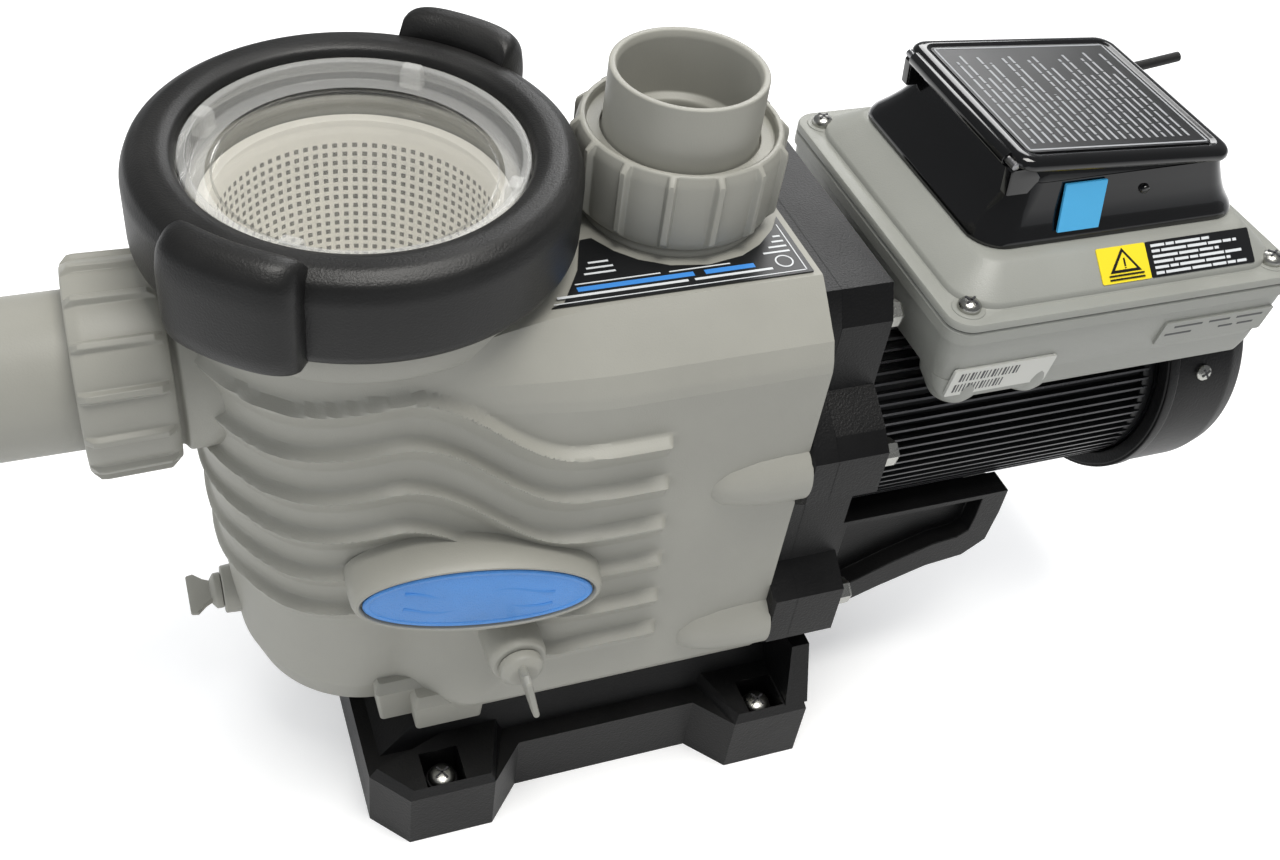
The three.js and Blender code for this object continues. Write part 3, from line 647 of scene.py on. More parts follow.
register(plates("deck_label_bar", [(80, 132, -54.4, -51.6), (137, 160, -54.4, -51.6)],
                BLUE_PRINT, at(0, 0, LABEL_TOP)))
register(lathe("deck_label_ring", [(3.4, 0), (4.1, 0), (4.1, PRINT_RISE), (3.4, PRINT_RISE)],
               WHITE, at(174.0, -53, LABEL_TOP), 40))

# ---------------------------------------------------------------- lock ring
RING_SECTION = [
    (81, 322), (90.5, 322), (92.5, 326), (92.5, 352), (90, 358.5), (84, 362.2), (77, 362.5),
    (72.5, 360.5), (71, 357), (71, 350.6), (81, 350.6)]
# (r, z) section of a lug where it sinks into the ring, and at full height
LUG_LOW = [(84, 322), (91, 322), (92.3, 330), (92.3, 345), (91, 355), (87, 361), (83, 361),
           (82, 350)]
LUG_HIGH = [(84, 322), (104, 323.5), (106, 331), (106, 358), (104, 366.5), (98, 371.5),
            (90.5, 371.5), (85, 366)]
LUG_DEGREES = (48, 229)
LUG_HALF_SWEEP = 17.5
LUG_STEPS = 46


def ring_lug(middle):
    levels = []
    for i in range(LUG_STEPS + 1):
        t = -1 + 2 * i / LUG_STEPS
        a = math.radians(middle + t * LUG_HALF_SWEEP)
        grown = max(0.0, 1 - abs(t) ** 5.0) ** 0.36
        section = [(low[0] + (high[0] - low[0]) * grown, low[1] + (high[1] - low[1]) * grown)
                   for low, high in zip(LUG_LOW, LUG_HIGH)]
        levels.append([(r * math.cos(a), r * math.sin(a), z)
                       for r, z in rounded(section, 5.0, 4)])
    return loft("lug", levels, RING, smooth=50)


parts = [lathe("ring_torus", rounded(RING_SECTION, 2.2, 4), RING, segments=160)]
parts += [ring_lug(middle) for middle in LUG_DEGREES]
register(join(parts, "lock_ring_body"), "lock_ring", "ring_body")

# ---------------------------------------------------------------- clear lid
LID = [
    (0, 344.6), (79.5, 344.6), (79.5, 350), (70.3, 350), (70.3, 357.6), (66.6, 357.6),
    (66.0, 349.2), (60, 348.6), (0, 348.2)]
FROST_FROM = 0.0595         # metres from the axis
lid = lathe("lid_clear", rounded(LID, 0.8), CLEAR, segments=160)
lid.data.materials.append(FROST)
for face in lid.data.polygons:
    if math.hypot(face.center.x, face.center.y) > FROST_FROM:
        face.material_index = 1
register(lid, "clear_lid", "lid_body")
LID_TAB = [(349, 63, 69.8, -5, 5, 1.0), (356.6, 63, 69.8, -4.6, 4.6, 1.0),
           (358.4, 64, 69, -4, 4, 1.0)]
for k in range(4):
    tab = rounded_box("lid_tab_%d" % (k + 1), LID_TAB, FROST, turn(57 + 90 * k, "Z"))
    register(tab, body="lid_body")
register(lathe("lid_rib", [(57, 348.4), (58, 348.4), (58, 349.0), (57, 349.0)], CLEAR,
               segments=128), body="lid_body")
register(lathe("lid_seal", rounded([(68, 340.5), (76, 340.5), (76, 344), (68, 344)], 1.5, 4),
               RUBBER), "lid_oring", "lid_body")

# ---------------------------------------------------------------- strainer basket
BASKET = [
    (0, 80), (42, 80), (46, 82), (50, 100), (57, 180), (61, 300), (61, 325), (65, 326), (65, 332),
    (60, 332), (59.4, 330), (59.2, 322), (58.8, 292), (58.3, 290), (54.5, 180), (48.2, 110),
    (47.5, 102), (43, 84), (39, 83), (0, 83)]
FLOOR_PITCH, ROW_PITCH, HOLES_ROUND = 4.0, 4.6, 84


def map_basket(mesh):
    """Gives the grid material to floor and wall, with one UV unit for each hole."""
    uv_layer = mesh.uv_layers.new(name="UVMap")
    for face in mesh.polygons:
        centre = face.center * 1000
        r = math.hypot(centre.x, centre.y)
        middle = math.atan2(centre.y, centre.x)
        flat = centre.z < 84.5 and r < 43.4
        if (flat and r < 39) or (not flat and 92 < centre.z < 311):
            face.material_index = 1
        for loop in face.loop_indices:
            point = mesh.vertices[mesh.loops[loop].vertex_index].co * 1000
            if flat:
                uv_layer.data[loop].uv = (point.x / FLOOR_PITCH, point.y / FLOOR_PITCH)
                continue
            a = math.atan2(point.y, point.x)
            # Keep the angle on the same turn as the middle of the face
            if a - middle > math.pi:
                a -= 2 * math.pi
            if middle - a > math.pi:
                a += 2 * math.pi
            uv_layer.data[loop].uv = (a / (2 * math.pi) * HOLES_ROUND, point.z / ROW_PITCH)


basket = lathe("basket_shell", BASKET, PLAIN_BASKET, segments=120)
basket.data.materials.append(BASKET_GRID)
map_basket(basket.data)
register(basket, "strainer_basket", "basket_body")

# ---------------------------------------------------------------- unions
# (r, z, share of the grip ridge's height) round the section of the nut
NUT = [
    (38.5, 5, 0), (43, 5, 0), (44.4, 7, 0.2), (45.0, 10, 1), (45.6, 37, 1), (45.2, 39.5, 1),
    (44.2, 42.5, 0.2), (43.4, 43, 0), (42, 43, 0), (41.2, 42.2, 0), (41, 38.4, 0),
    (34.9, 38.2, 0), (34.8, 35.6, 0), (38.5, 35.4, 0)]
RIDGES, RIDGE_STEPS, RIDGE_HEIGHT = 14, 16, 2.6


def union_nut(name, mount):
    around, n = RIDGES * RIDGE_STEPS, len(NUT)
    verts, faces = [], []
    for i in range(around):
        a = 2 * math.pi * i / around
        ridge = RIDGE_HEIGHT if 0.40 <= (i % RIDGE_STEPS) / RIDGE_STEPS <= 0.60 else 0.0
        for r, z, share in NUT:
            grown = r + share * ridge
            verts.append((grown * math.cos(a), grown * math.sin(a), z))
        j = (i + 1) % around
        for k in range(n):
            q = (k + 1) % n
            faces.append([i * n + k, j * n + k, j * n + q, i * n + q])
    nut = mesh_object(name, verts, faces, UNION, mount, 32)
    bevel(nut, width=0.6, segments=2, angle=38)
    return nut


def union(port, mount, end):
    """Nut, tailpiece reaching to z = end, and seal of one port."""
    register(union_nut(port + "_union_nut", mount), port + "_nut",
             port + "_nut_body")
    tail = [(26, 30), (37.6, 30), (37.6, 35), (35.3, 35.2), (34.15, 37), (34.15, end),
            (31.3, end), (30.3, end - 3), (30.1, 38), (26.5, 36), (26, 34)]
    register(lathe(port + "_tail", rounded(tail, 0.8), UNION, mount, 128),
             port + "_tailpiece")
    seal = [(28.5, 26.4), (36, 26.4), (36, 29.6), (28.5, 29.6)]
    register(lathe(port + "_seal", rounded(seal, 1.4, 4), RUBBER, mount, 72),
             port + "_oring")


union("discharge", DISCHARGE, 68)
union("suction", SUCTION, 87)

# ---------------------------------------------------------------- drain plugs
PLUG = [(0, -20), (7, -20), (7, 0.4), (10.5, 0.4), (10.5, 5), (7, 8), (0, 9)]
PLUG_WING = [
    (6, -2.2, 2.2, -7, 7, 2), (12, -1.9, 1.9, -10, 10, 1.8), (18, -1.7, 1.7, -15, 15, 1.6),
    (22, -1.5, 1.5, -14.4, 14.4, 1.4), (22.8, -1.0, 1.0, -13.6, 13.6, 0.9)]
LEFT_PLUG_SCALE = Matrix.Diagonal((0.86, 0.86, 0.74, 1))
for place, matrix in (("front", DRAIN_FRONT @ turn(12, "Z")), ("left", DRAIN_LEFT @ LEFT_PLUG_SCALE)):
    name = "plug_" + place
    stem = lathe(name, rounded(PLUG, 0.8), GREY, matrix, 48)
    wing = rounded_box(name + "_w", PLUG_WING, GREY, matrix)
    register(join([stem, wing], name), "drain_plug_" + place, name + "_body")


# ---------------------------------------------------------------- fasteners
def pan_screw(name, matrix, radius, height, replaces, shank=0):
    """Domed screw with a cross in its head, drawn as dark slabs that are painted shade for the
    recess; local z points out of the head.
    """
    profile = [(0, height)]
    for t in np.linspace(0.15, math.pi / 2, 8):
        profile.append((radius * math.sin(t), 0.25 * height + (height * 0.75) * math.cos(t)))
    profile.append((radius, 0))
    profile += [(2.6, 0), (2.6, -shank), (0, -shank)] if shank else [(0, 0)]
    pieces = [lathe(name, profile[::-1], ZINC, matrix, 40)]
    low, high = radius * 0.62, radius * 0.6
    arms = (("_a", (-low, low, -0.55, 0.55), (-high, high, -0.5, 0.5)),
            ("_b", (-0.55, 0.55, -low, low), (-0.5, 0.5, -high, high)))
    # The cross arms are dark slabs: painted shade standing in for the recessed cross.
    for suffix, bottom, top in arms:
        levels = [(height * 0.9, *bottom, 0.3), (height + 0.12, *top, 0.3)]
        pieces.append(rounded_box(name + suffix, levels, DARK_PRINT_AND_SHADE, matrix @ turn(30, "Z")))
    register(join(pieces, name), replaces)


def hex_bolt(name, matrix, replaces):
    washer = [(0, -20), (4, -20), (4, 0.3), (8.6, 0.3), (8.6, 1.9), (0, 1.9)]
    corners = [math.radians(60 * k + 10) for k in range(6)]
    levels = [[(6.8 * math.cos(a) * scale, 6.8 * math.sin(a) * scale, z) for a in corners]
              for scale, z in ((1, 1.9), (1, 10.4), (0.9, 11.6), (0.6, 11.7))]
    shank = lathe(name, rounded(washer, 0.4, 2), ZINC, matrix, 48)
    head = loft(name + "_h", levels, ZINC, matrix, 20)
    register(join([shank, head], name), replaces)


LEG_POST = [(2.7, 21.6), (8.4, 21.6), (8.0, 35.2), (2.7, 35.2)]
LEGS = [(x, y) for x in (20, 196) for y in (-93, 93)]
for i, (x, y) in enumerate(LEGS, 1):
    pan_screw("leg_screw_%d" % i, at(x, y, 35.4), 7.0, 4.6, "base_screw_%d" % i, shank=35)
    post = lathe("leg_post_%d" % i, rounded(LEG_POST, 0.6, 2), SATIN, at(x, y, 0), 40)
    register(post)

BOLTS = [(side * y, z) for y, z in ((56, 276), (84, 213), (84, 110)) for side in (-1, 1)]
for i, (y, z) in enumerate(BOLTS, 1):
    hex_bolt("hex_bolt_%d" % i, at(226, y, z) @ turn(90, "Y"), "housing_bolt_%d" % i)

BOX_SCREWS = ((259, -76), (425, -76), (425, 76), (259, 76))
for i, (x, y) in enumerate(BOX_SCREWS, 1):
    pan_screw("box_screw_%d" % i, at(x, y, 290.8), 5.4, 4.6, "lid_screw_%d" % i)

FAN_COVER_R = 78
COVER_SCREW_RISE = 0.35         # radians above the horizontal through the shaft
for i, side in enumerate((-1, 1), 1):
    seat = at(422, side * FAN_COVER_R * math.cos(COVER_SCREW_RISE),
              SHAFT_Z + FAN_COVER_R * math.sin(COVER_SCREW_RISE))
    tilt = turn(side * -(90 - math.degrees(COVER_SCREW_RISE)), "X")
    pan_screw("cover_screw_%d" % i, seat @ tilt, 4.4, 3.0, "fan_cover_screw_%d" % i)

# ---------------------------------------------------------------- motor
FIN_COUNT = 84
# Across one fin pitch: (share of the pitch, radius); the third point starts the tip
FIN_POINTS = ((0, 66.4), (0.55, 66.4), (0.66, 70), (0.88, 70))
FIN_LEVELS = ((232, 0.96), (233.5, 1.0), (240, 1.0), (395, 1.0), (397, 0.985))    # x, scale


def motor_fins():
    section = []
    for k in range(FIN_COUNT):
        for share, r in FIN_POINTS:
            a = 2 * math.pi * (k + share) / FIN_COUNT
            section.append((r * math.cos(a), r * math.sin(a)))
    verts = [(x, y * scale, SHAFT_Z + z * scale) for x, scale in FIN_LEVELS for y, z in section]
    n, last = len(section), len(FIN_LEVELS) - 1
    faces, tips = [], []
    for i in range(last):
        for j in range(n):
            q = (j + 1) % n
            if j % 4 == 2 and i > 0:
                tips.append(len(faces))
            faces.append([i * n + j, i * n + q, (i + 1) * n + q, (i + 1) * n + j])
    faces += [list(range(n)), [last * n + j for j in range(n)]]
    fins = mesh_object("motor_fins", verts, faces, MOTOR, smooth=25)
    fins.data.materials.append(FIN_TIP)
    for index in tips:
        fins.data.polygons[index].material_index = 1
    return fins


PUMP_END = [(9, 226.6), (60, 226.6), (66, 229), (68.5, 233), (68.5, 236), (9, 236)]
FAN_END = [(20, 393), (68.8, 393), (69.3, 395), (69.3, 399.8), (20, 399.8)]
shell = join([
    motor_fins(),
    lathe("motor_front", rounded(PUMP_END, 1.5), MOTOR, SHAFT),
    lathe("motor_rear", rounded(FAN_END), MOTOR, SHAFT)], "motor_shell")
register(shell, "motor_housing")

SHROUD = [
    (70.2, 400.4), (FAN_COVER_R, 400.4), (FAN_COVER_R, 420), (FAN_COVER_R, 440), (75.5, 448.5),
    (70, 453.5), (62, 455), (10, 455), (10, 452), (62, 452), (72, 446), (75, 438), (75, 407),
    (70.2, 407)]
SHROUD_LIP = [(77.5, 401), (79.2, 401), (79.2, 406.4), (77.5, 407)]
SLOT_RINGS = ((24, 10), (36, 14), (48, 18), (58, 22))       # radius, number of slots
parts = [lathe("fan_shroud", rounded(SHROUD, 1.6, 4), SATIN, SHAFT, 128),
         lathe("fan_lip", rounded(SHROUD_LIP, 0.7), SATIN, SHAFT, 128)]
for r, count in SLOT_RINGS:
    for k in range(count):
        parts.append(patch("slot", 454.9, 455.25, (r - 4.2, r + 4.2, -2.4, 2.4, 2.2),
                           GLOSS, SHAFT @ turn(360 / count * k, "Z")))
register(join(parts, "fan_shroud"), "fan_cover")

# ---------------------------------------------------------------- bracket under the motor
# (x, z) outline of a side cheek, and of the recess in its outer face
CHEEK = [(226.6, 66), (246, 69), (272, 80), (300, 90), (322, 93), (334, 103), (336, 125),
         (336, 142), (226.6, 142)]
RECESS = [(240, 84), (252, 88), (276, 99), (300, 108), (314, 110), (320, 114), (321, 124),
          (321, 139), (240, 139)]
CHEEK_LEVELS = ((CHEEK, 51.5), (CHEEK, 65.5), (CHEEK, 66),
                (RECESS, 66), (RECESS, 65.5), (RECESS, 56))     # outline, distance from y = 0
SADDLE_R = 71.8
parts = []
for side in (-1, 1):
    cheek = loft("side", [[(x, side * y, z) for x, z in outline]
                          for outline, y in CHEEK_LEVELS], SATIN)
    bevel(cheek, width=1.2, segments=2, angle=30)
    bpy.context.view_layer.objects.active = cheek
    bpy.ops.object.modifier_apply(modifier="bevel")
    parts.append(cheek)
arc = [(SADDLE_R * math.sin(t), SHAFT_Z - SADDLE_R * math.cos(t))
       for t in np.linspace(-0.80, 0.80, 25)]
for x0, x1, foot_z in ((226.8, 240, 68), (322, 335.8, 97)):
    web = [(arc[0][0], foot_z)] + arc + [(arc[-1][0], foot_z)]
    parts.append(loft("web", [[(x, y, z) for y, z in web] for x in (x0, x1)], SATIN))
parts.append(rounded_box(
    "web_low", [(86, 238, 324, -54, 54, 2), (90, 238, 324, -54, 54, 2)], SATIN,
    at(281, 0, 88) @ turn(-12, "Y") @ at(-281, 0, -88)))
register(join(parts, "bracket_cradle"), "motor_bracket")

# ---------------------------------------------------------------- control box
BOX_RECT = (247, 437, -88, 88)      # x0, x1, y0, y1
# z, inset, corner radius
BOX_BODY = [(250, 6, 9), (252, 4.4, 10), (272, 1.6, 11), (278, 1.2, 11), (278.6, 0, 11.5),
            (284.2, 0, 11.5), (285, 0.8, 11)]
BOX_LID = [
    (285.5, 0.8, 11), (286.2, 0, 11.5), (288.8, 0, 11.5), (289.8, 0.6, 11), (290.1, 1.6, 11),
    (290.1, 7.4, 20), (290.6, 8.0, 20), (292.8, 8.4, 20), (293.6, 9.2, 19.5), (304.2, 22.0, 11),
    (305.2, 24.2, 9), (305.3, 27, 8)]
# Skirts either side of the motor: z, x0, x1, inner y, outer y, corner radius
SKIRT = [(239, 258, 426, 61, 81.0, 6), (240, 256, 428, 60, 82.4, 7),
         (246, 252.6, 431.4, 59, 83.0, 8), (253, 251.4, 432.6, 58, 83.7, 9)]
LOBE = [(0, 232), (6, 232.6), (10, 235), (12.4, 239), (13.4, 245), (14, 256), (0, 256)]
LID_BOSS = [(0, 288), (8.2, 288), (7.6, 290.7), (0, 290.7)]

parts = [rounded_box("box_body", inset_levels(BOX_BODY, *BOX_RECT), BOX, steps=8)]
for side in (-1, 1):
    levels = [(z, x0, x1, *span(side, y0, y1), r) for z, x0, x1, y0, y1, r in SKIRT]
    parts.append(rounded_box("skirt", levels, BOX))
    for x in (268, 306):
        parts.append(lathe("lobe", LOBE, BOX, at(x, side * 71, 0), 40))
register(join(parts, "box_body"), "control_box_body")

parts = [rounded_box("box_lid", inset_levels(BOX_LID, *BOX_RECT), BOX, steps=8)]
for x, y in BOX_SCREWS:
    parts.append(lathe("lid_boss", rounded(LID_BOSS, 0.4), BOX, at(x, y, 0), 48))
register(join(parts, "box_lid"), "control_box_lid")

# ---------------------------------------------------------------- stickers on the box
# Front slope of the lid: local x along +X, y up the slope
SLOPE = at(0, -78.9, 293.5) @ turn(39.6, "X")
register(patch("caution_patch", 0.0, 0.55, (327, 353.6, 0.4, 17.4, 0.8), YELLOW, SLOPE))
register(prism("caution_mark", ((332, 5.0), (349, 5.0), (340.5, 16.4)), (0.5, 0.75),
               LABEL, SLOPE))
register(prism("caution_mark_in", ((334.6, 6.3), (346.4, 6.3), (340.5, 14.3)), (0.6, 0.9),
               YELLOW, SLOPE))
CAUTION_BARS = [(340, 341, 7.6, 11.6), (340, 341, 6.7, 7.2), (331, 350, 3.4, 4.2),
                (331, 350, 1.6, 2.4)]
register(plates("caution_bars", CAUTION_BARS, LABEL, SLOPE @ at(0, 0, 0.85)))
register(patch("notice_patch", 0.0, 0.5, (354.0, 412, 0.4, 17.4, 0.8), LABEL, SLOPE))
NOTICE_WIDTHS = [0.96, 0.80, 0.93, 0.70, 0.90, 0.62]        # share of the full line, by row
bars = []
for row, share in enumerate(NOTICE_WIDTHS):
    line = dashes(356.5, 53 * share, shortest=4.5, step=3.1, gap=0.9,
                  row=row, row_stride=5, dash_stride=3)
    bars += [(x0, x1, 1.6 + 2.6 * row, 2.9 + 2.6 * row) for x0, x1 in line]
register(plates("notice_print", bars, WHITE, SLOPE @ at(0, 0, 0.5)))

# Front wall of the box: local x along +X, y up the wall, z out of it
WALL = Matrix(((1, 0, 0, 0), (0, -0.139, -0.990, -83.9), (0, 0.990, -0.139, 252), (0, 0, 0, 1)))


def wall_sticker(name, rect, material, bars):
    register(patch(name + "_sticker", -0.6, 0.95, (*rect, 1), material, WALL))
    register(plates(name + "_print", bars, DARK_PRINT_AND_SHADE, WALL @ at(0, 0, 0.95)))


# Two rows of upright strokes, every few of them wider
bars = [(260 + 1.9 * k, 260 + 1.9 * k + (0.6 if k % 3 else 1.1), 1.5, 7.0) for k in range(17)]
bars += [(259 + 1.8 * k, 259 + 1.8 * k + (0.6 if k % 4 else 1.0), -6.0, -0.5) for k in range(15)]
wall_sticker("rating", (256, 310, -8.5, 9.5), PAPER, bars)
SPEC_X, SPEC_TOP = 366, 19.5
# Two lines of bars: drop of the line's lower edge, then spans measured from the left edge
SPEC_LINES = ((4.2, ((6, 22), (26, 38), (42, 57))), (9.2, ((3, 18), (34, 42), (45, 54))))
bars = [(SPEC_X + x0, SPEC_X + x1, SPEC_TOP - drop, SPEC_TOP - drop + 1.2)
        for drop, spans in SPEC_LINES for x0, x1 in spans]
wall_sticker("spec", (SPEC_X, 428, 4.0, SPEC_TOP), BOX, bars)

# ---------------------------------------------------------------- keypad
HINGE_X, HINGE_Z = 281, 345
TILT = 0.0713           # radians that the keypad top falls towards +X
PEDESTAL = [
    (304.6, 271.4, 414.4, -57.4, 65.4, 16), (307.2, 270.8, 415, -58, 66, 16),
    (309, 271.4, 414.4, -57.4, 65.6, 16), (311.6, 273.4, 412.4, -56, 63.6, 15.4),
    (316, 277.0, 409, -54.4, 60.4, 14.4), (322, 281.4, 405.4, -53.0, 56.8, 13),
    (329, 285.6, 401.6, -51.8, 53.6, 11.5), (335.2, 288.4, 398.4, -50.8, 51.6, 10)]
# Rim and sunken well of the top: height from the tilted plane, inset, corner radius
PAD = [(-1.0, 0, 9), (0, 0.8, 8.4), (0, 8, 5), (-0.6, 9, 5), (-6.0, 10, 5), (-6.2, 12, 4)]


def pad_plane(x):
    return HINGE_Z - 1.6 - (x - HINGE_X) * math.tan(TILT)


levels = [[(x, y, 334.6) for x, y in rounded_rect(288.8, 398, -50.6, 51.2, 10, 8)]]
for rise, inset, r in PAD:
    outline = rounded_rect(291.6 + inset, 395.4 - inset, -50 + inset, 50 - inset, r, 8)
    levels.append([(x, y, pad_plane(x) + rise) for x, y in outline])
parts = [rounded_box("keypad_pedestal", PEDESTAL, GLOSS, steps=8),
         loft("keypad_top", levels, GLOSS)]
EAR = [(330, 280.6, 296), (338, 279.8, 296), (342.2, 279.4, 292), (343.2, 280.2, 288)]  # z, x0, x1
for y0, y1 in ((-50, -44), (44, 50)):
    parts.append(rounded_box("ear", [(*row, y0, y1, 1) for row in EAR], GLOSS))
register(join(parts, "keypad_pedestal"), "keypad_housing")

WINDOW = [(334.6, 312, 344, -26, 26, 2), (336.0, 312.4, 343.6, -25.6, 25.6, 2)]
register(rounded_box("keypad_window", WINDOW, CLEAR), "display_window")
SCREEN = plastic("screen_m", srgb(96, 120, 96), rough=0.3, grain=600, bump=0.02, mottle=0.04)
register(rounded_box("keypad_screen", [(334.2, 313, 343, -25, 25, 1), (334.5, 313, 343, -25, 25, 1)],
                     SCREEN))
KEY = [(0, 330.4), (5, 330.4), (5, 335.4), (4.2, 336.2), (0, 335.7)]
for i, y in enumerate((-24, -8, 8, 24), 1):
    key = lathe("key_%d" % i, rounded(KEY, 0.6), BUTTON, at(364, y, 0), 40)
    register(key, "keypad_button_%d" % i, "button_%d_body" % i)

# ---------------------------------------------------------------- keypad cover
# Local origin on the hinge, x towards the free edge, z off the keypad
COVER = at(HINGE_X, 0, HINGE_Z) @ turn(math.degrees(TILT), "Y")
COVER_ROWS = [
    (-0.7, 1.6, 8), (-0.3, 0.4, 9), (1.0, 0, 9), (3.0, 0.3, 9), (4.3, 1.4, 8.4), (4.9, 3.0, 7.6),
    (5.1, 4.8, 6.6), (5.0, 6.0, 6), (4.4, 6.8, 5.6), (4.3, 9, 4)]       # z, inset, corner radius
KNUCKLE = [(0, -43.4), (3.6, -43.4), (3.6, 43.4), (0, 43.4)]
cover = join([
    rounded_box("cover", inset_levels(COVER_ROWS, -0.4, 117.6, -54, 54), GLOSS, COVER, 8),
    rounded_box("cover_tongue", [(-0.7, 0.5, 12, -43, 43, 0.5), (3.4, 0.5, 12, -43, 43, 0.5)],
                GLOSS, COVER),
    lathe("knuckle", rounded(KNUCKLE, 0.5, 2), GLOSS, COVER @ turn(90, "X"), 40)], "keypad_lid")
register(cover, "keypad_cover", "cover_body")
register(rounded_box("cover_label", [(z, 7, 109, -45.6, 45.6, 3) for z in (4.3, 4.7)],
                     LABEL, COVER, 4), body="cover_body")
# A frame, then twenty broken lines along y; lengths repeat after sixteen
LINE_SHARES = [0.9, 0.97, 0.72, 0.95, 0.88, 0.6, 0.93, 0.96, 0.5, 0.9, 0.94, 0.8, 0.66, 0.9,
               0.95, 0.7]
bars = [(8.4, 107.6, -44.4, -43.4), (8.4, 107.6, 43.4, 44.4), (8.4, 9.4, -44.4, 44.4),
        (106.6, 107.6, -44.4, 44.4)]
for row in range(20):
    x = 14 + 4.5 * row
    line = dashes(-39.0, 78 * LINE_SHARES[row % 16], shortest=3.5, step=2.6, gap=1.1,
                  row=row, row_stride=7, dash_stride=5)
    bars += [(x, x + 1.3, y0, y1) for y0, y1 in line]
GREY_PRINT = print_finish("print_grey_m", (150, 152, 155), rough=0.5, mottle=0.03)
register(plates("cover_print", bars, GREY_PRINT, COVER @ at(0, 0, 4.7)),
         body="cover_body")
ROD = [(0, -49.6), (1.9, -49.6), (1.9, 49.6), (0, 49.6)]
register(lathe("hinge_rod", rounded(ROD, 0.4, 2), STEEL,
               at(HINGE_X, 0, HINGE_Z) @ turn(90, "X"), 32), "cover_hinge_pin")

# Blue square and round nub on the front of the pedestal
BLUE_SQUARE = ((309, -57.0, 311.5), (331, -57.0, 311.5), (331, -51.6, 334), (309, -51.6, 334))
register(loft("blue_sticker", [[(x, y - out, z) for x, y, z in BLUE_SQUARE] for out in (0, 1.2)],
              SKY, smooth=30))
register(lathe("catch_nub", rounded([(0, 0), (2.6, 0), (2.2, 2.4), (0, 2.8)], 0.6), GLOSS,
               at(354, -51.6, 326) @ turn(98, "X"), 32))

# ---------------------------------------------------------------- cable
CABLE_R = 3.0
CABLE_PATH = [(415, 80, 272), (415, 94, 272), (415, 104, 272), (422, 114, 272), (445, 118, 272),
              (480, 119, 274), (518, 120, 279)]


def cable():
    """A round curve turned into a mesh, so that it can be registered like the rest."""
    curve = bpy.data.curves.new("cable", "CURVE")
    curve.dimensions = "3D"
    curve.bevel_depth = CABLE_R * MM
    curve.bevel_resolution = 6
    curve.resolution_u = 10
    curve.use_fill_caps = True
    spline = curve.splines.new("NURBS")
    spline.points.add(len(CABLE_PATH) - 1)
    for point, (x, y, z) in zip(spline.points, CABLE_PATH):
        point.co = (x * MM, y * MM, z * MM, 1)
    spline.use_endpoint_u = True
    spline.order_u = 4
    carrier = bpy.data.objects.new("cable_run", curve)
    bpy.context.scene.collection.objects.link(carrier)
    depsgraph = bpy.context.evaluated_depsgraph_get()
    mesh = bpy.data.meshes.new_from_object(carrier.evaluated_get(depsgraph))
    bpy.data.objects.remove(carrier)
    run = bpy.data.objects.new("cable_run", mesh)
    bpy.context.scene.collection.objects.link(run)
    mesh.materials.clear()
    mesh.materials.append(RUBBER)
    for face in mesh.polygons:
        face.use_smooth = True
    return run


register(cable(), "power_cable")
GLAND = [(3.9, -16), (4.9, -16), (4.9, 0.5), (10, 0.5), (10, 8), (6.8, 15), (3.9, 16)]
register(lathe("gland_nut", rounded(GLAND, 0.8), SATIN, at(415, 88, 272) @ turn(-90, "X"), 48),
         "cable_gland")

# ---------------------------------------------------------------- CAD pieces kept as they are
CAD_FINISH = {
    "base": SATIN, "seal_plate": SATIN, "diffuser": SATIN, "impeller": SATIN,
    "cooling_fan": SATIN, "shaft_seal": RUBBER, "motor_shaft": STEEL, "rotor_core": STEEL,
    "front_bearing": STEEL, "rear_bearing": STEEL, "stator_core": COPPER,
    "rear_end_bell": MOTOR, "control_board": BOARD}
for name, material in CAD_FINISH.items():
    slots = NODES[name].data.materials
    slots.clear()
    slots.append(material)
for name, width in (("base", 2.4), ("seal_plate", 2.0)):
    bevel(NODES[name], width=width, segments=3, angle=28)


# ---------------------------------------------------------------- floor
def floor(half=40.0):
    """White floor, half its side in metres, that glows a little for the camera only."""
    mesh = bpy.data.meshes.new("floor")
    corners = [(-half, -half, 0), (half, -half, 0), (half, half, 0), (-half, half, 0)]
    mesh.from_pydata(corners, [], [(0, 1, 2, 3)])
    piece = bpy.data.objects.new("floor", mesh)
    bpy.context.scene.collection.objects.link(piece)
    material = plastic("floor_m", (0.88, 0.88, 0.88),
                       rough=0.9, grain=60, bump=0.0, mottle=0.005, spec=0.1)
    tree = material.node_tree
    seen = add_node(tree, "LightPath").outputs["Is Camera Ray"]
    glow = add_node(tree, "Math", {0: seen, 1: 0.30}, operation="MULTIPLY")
    set_inputs(tree.nodes["Principled BSDF"], {
        "Emission Color": (1, 1, 1, 1), "Emission Strength": glow.outputs[0]})
    mesh.materials.append(material)


floor()


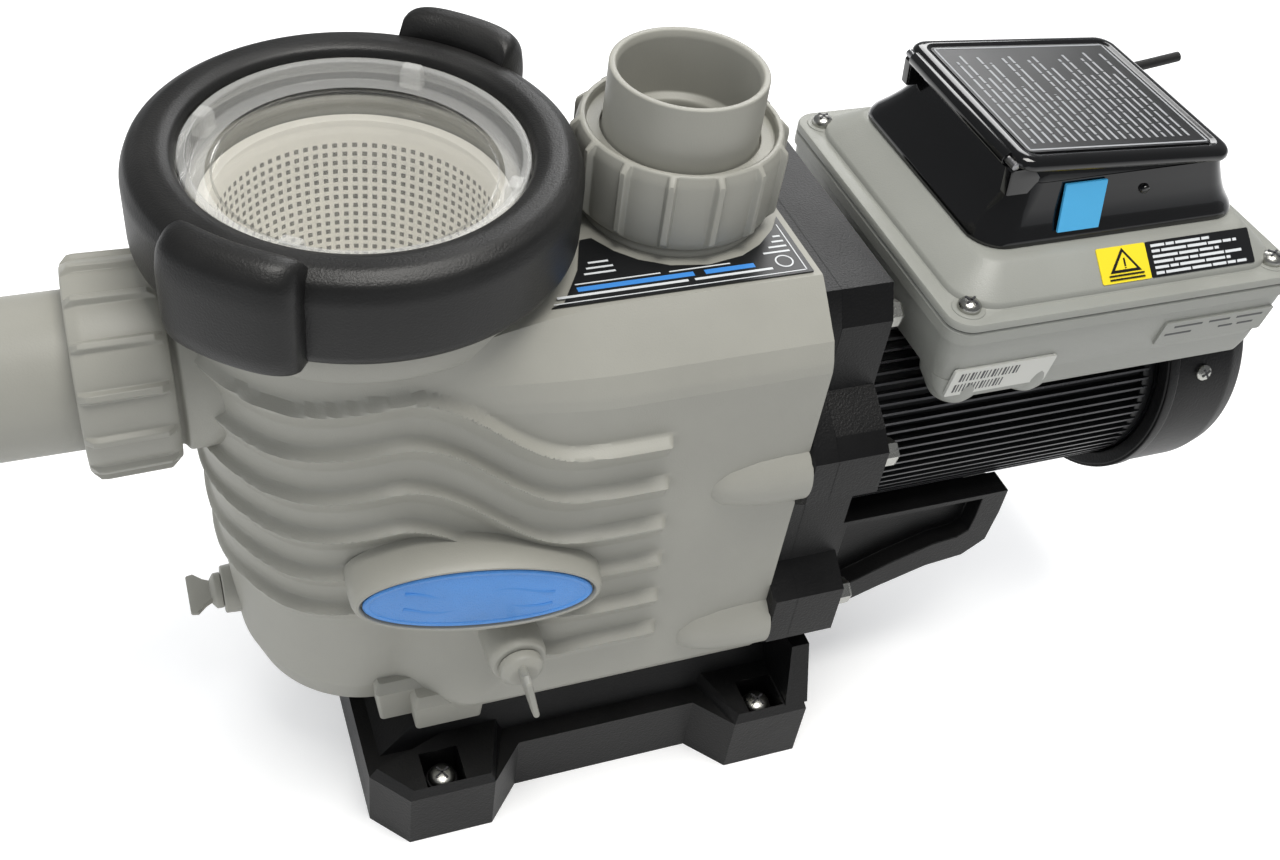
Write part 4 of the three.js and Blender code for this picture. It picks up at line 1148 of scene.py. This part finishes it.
# ---------------------------------------------------------------- world and lights
def sky():
    """Pale sky: full strength to the camera, dimmer to reflections than to the rest."""
    world = bpy.data.worlds.new("w")
    bpy.context.scene.world = world
    world.use_nodes = True
    tree = world.node_tree
    rays = add_node(tree, "LightPath").outputs
    lighting = add_node(tree, "MapRange", {
        "Value": rays["Is Glossy Ray"], "To Min": 0.56, "To Max": 0.20})
    strength = add_node(tree, "Math", {
        0: lighting.outputs["Result"], 1: rays["Is Camera Ray"]}, operation="MAXIMUM")
    set_inputs(tree.nodes["Background"], {0: (0.95, 0.97, 1.0, 1), 1: strength.outputs[0]})


def area(name, location, target, size, power, colour=(1, 1, 1), size_y=None, glossy=False):
    light = bpy.data.lights.new(name, "AREA")
    light.energy = power
    light.color = colour
    light.size = size
    if size_y:
        light.shape = "RECTANGLE"
        light.size_y = size_y
    lamp = bpy.data.objects.new(name, light)
    bpy.context.scene.collection.objects.link(lamp)
    lamp.visible_glossy = glossy
    lamp.location = location
    lamp.rotation_mode = "QUATERNION"
    lamp.rotation_quaternion = (Vector(target) - Vector(location)).to_track_quat("-Z", "Y")


sky()
area("key", location=(0.25, -0.25, 1.9), target=(0.17, 0, 0.2), size=1.0, size_y=0.7,
     power=26, colour=(1, 0.98, 0.94), glossy=True)
area("fill", location=(-1.6, -1.0, 1.1), target=(0.1, 0, 0.2), size=1.3,
     power=7, colour=(0.93, 0.96, 1))
area("rim", location=(1.2, 1.6, 1.5), target=(0.2, 0, 0.25), size=1.0, power=16, glossy=True)
area("back", location=(-0.7, 1.5, 1.2), target=(0.1, 0, 0.2), size=0.8, power=7)

# ---------------------------------------------------------------- camera
RIGHT = Vector((0.94751, -0.30847, 0.08439))
UP = Vector((0.15091, 0.66383, 0.73252))
FORWARD = Vector((0.282, 0.68124, -0.67559))
lens = bpy.data.cameras.new("cam")
camera = bpy.data.objects.new("cam", lens)
bpy.context.scene.collection.objects.link(camera)
lens.sensor_width = 36.0
lens.lens = 40.6771875
lens.shift_x = 0.0586
lens.shift_y = -0.0352
lens.clip_start = 0.01
lens.clip_end = 30
pose = Matrix((RIGHT, UP, -FORWARD)).transposed().to_4x4()
pose.translation = (-0.09838, -0.48241, 0.68563)
camera.matrix_world = pose
bpy.context.scene.camera = camera
bpy.context.scene.view_settings.view_transform = "Standard"
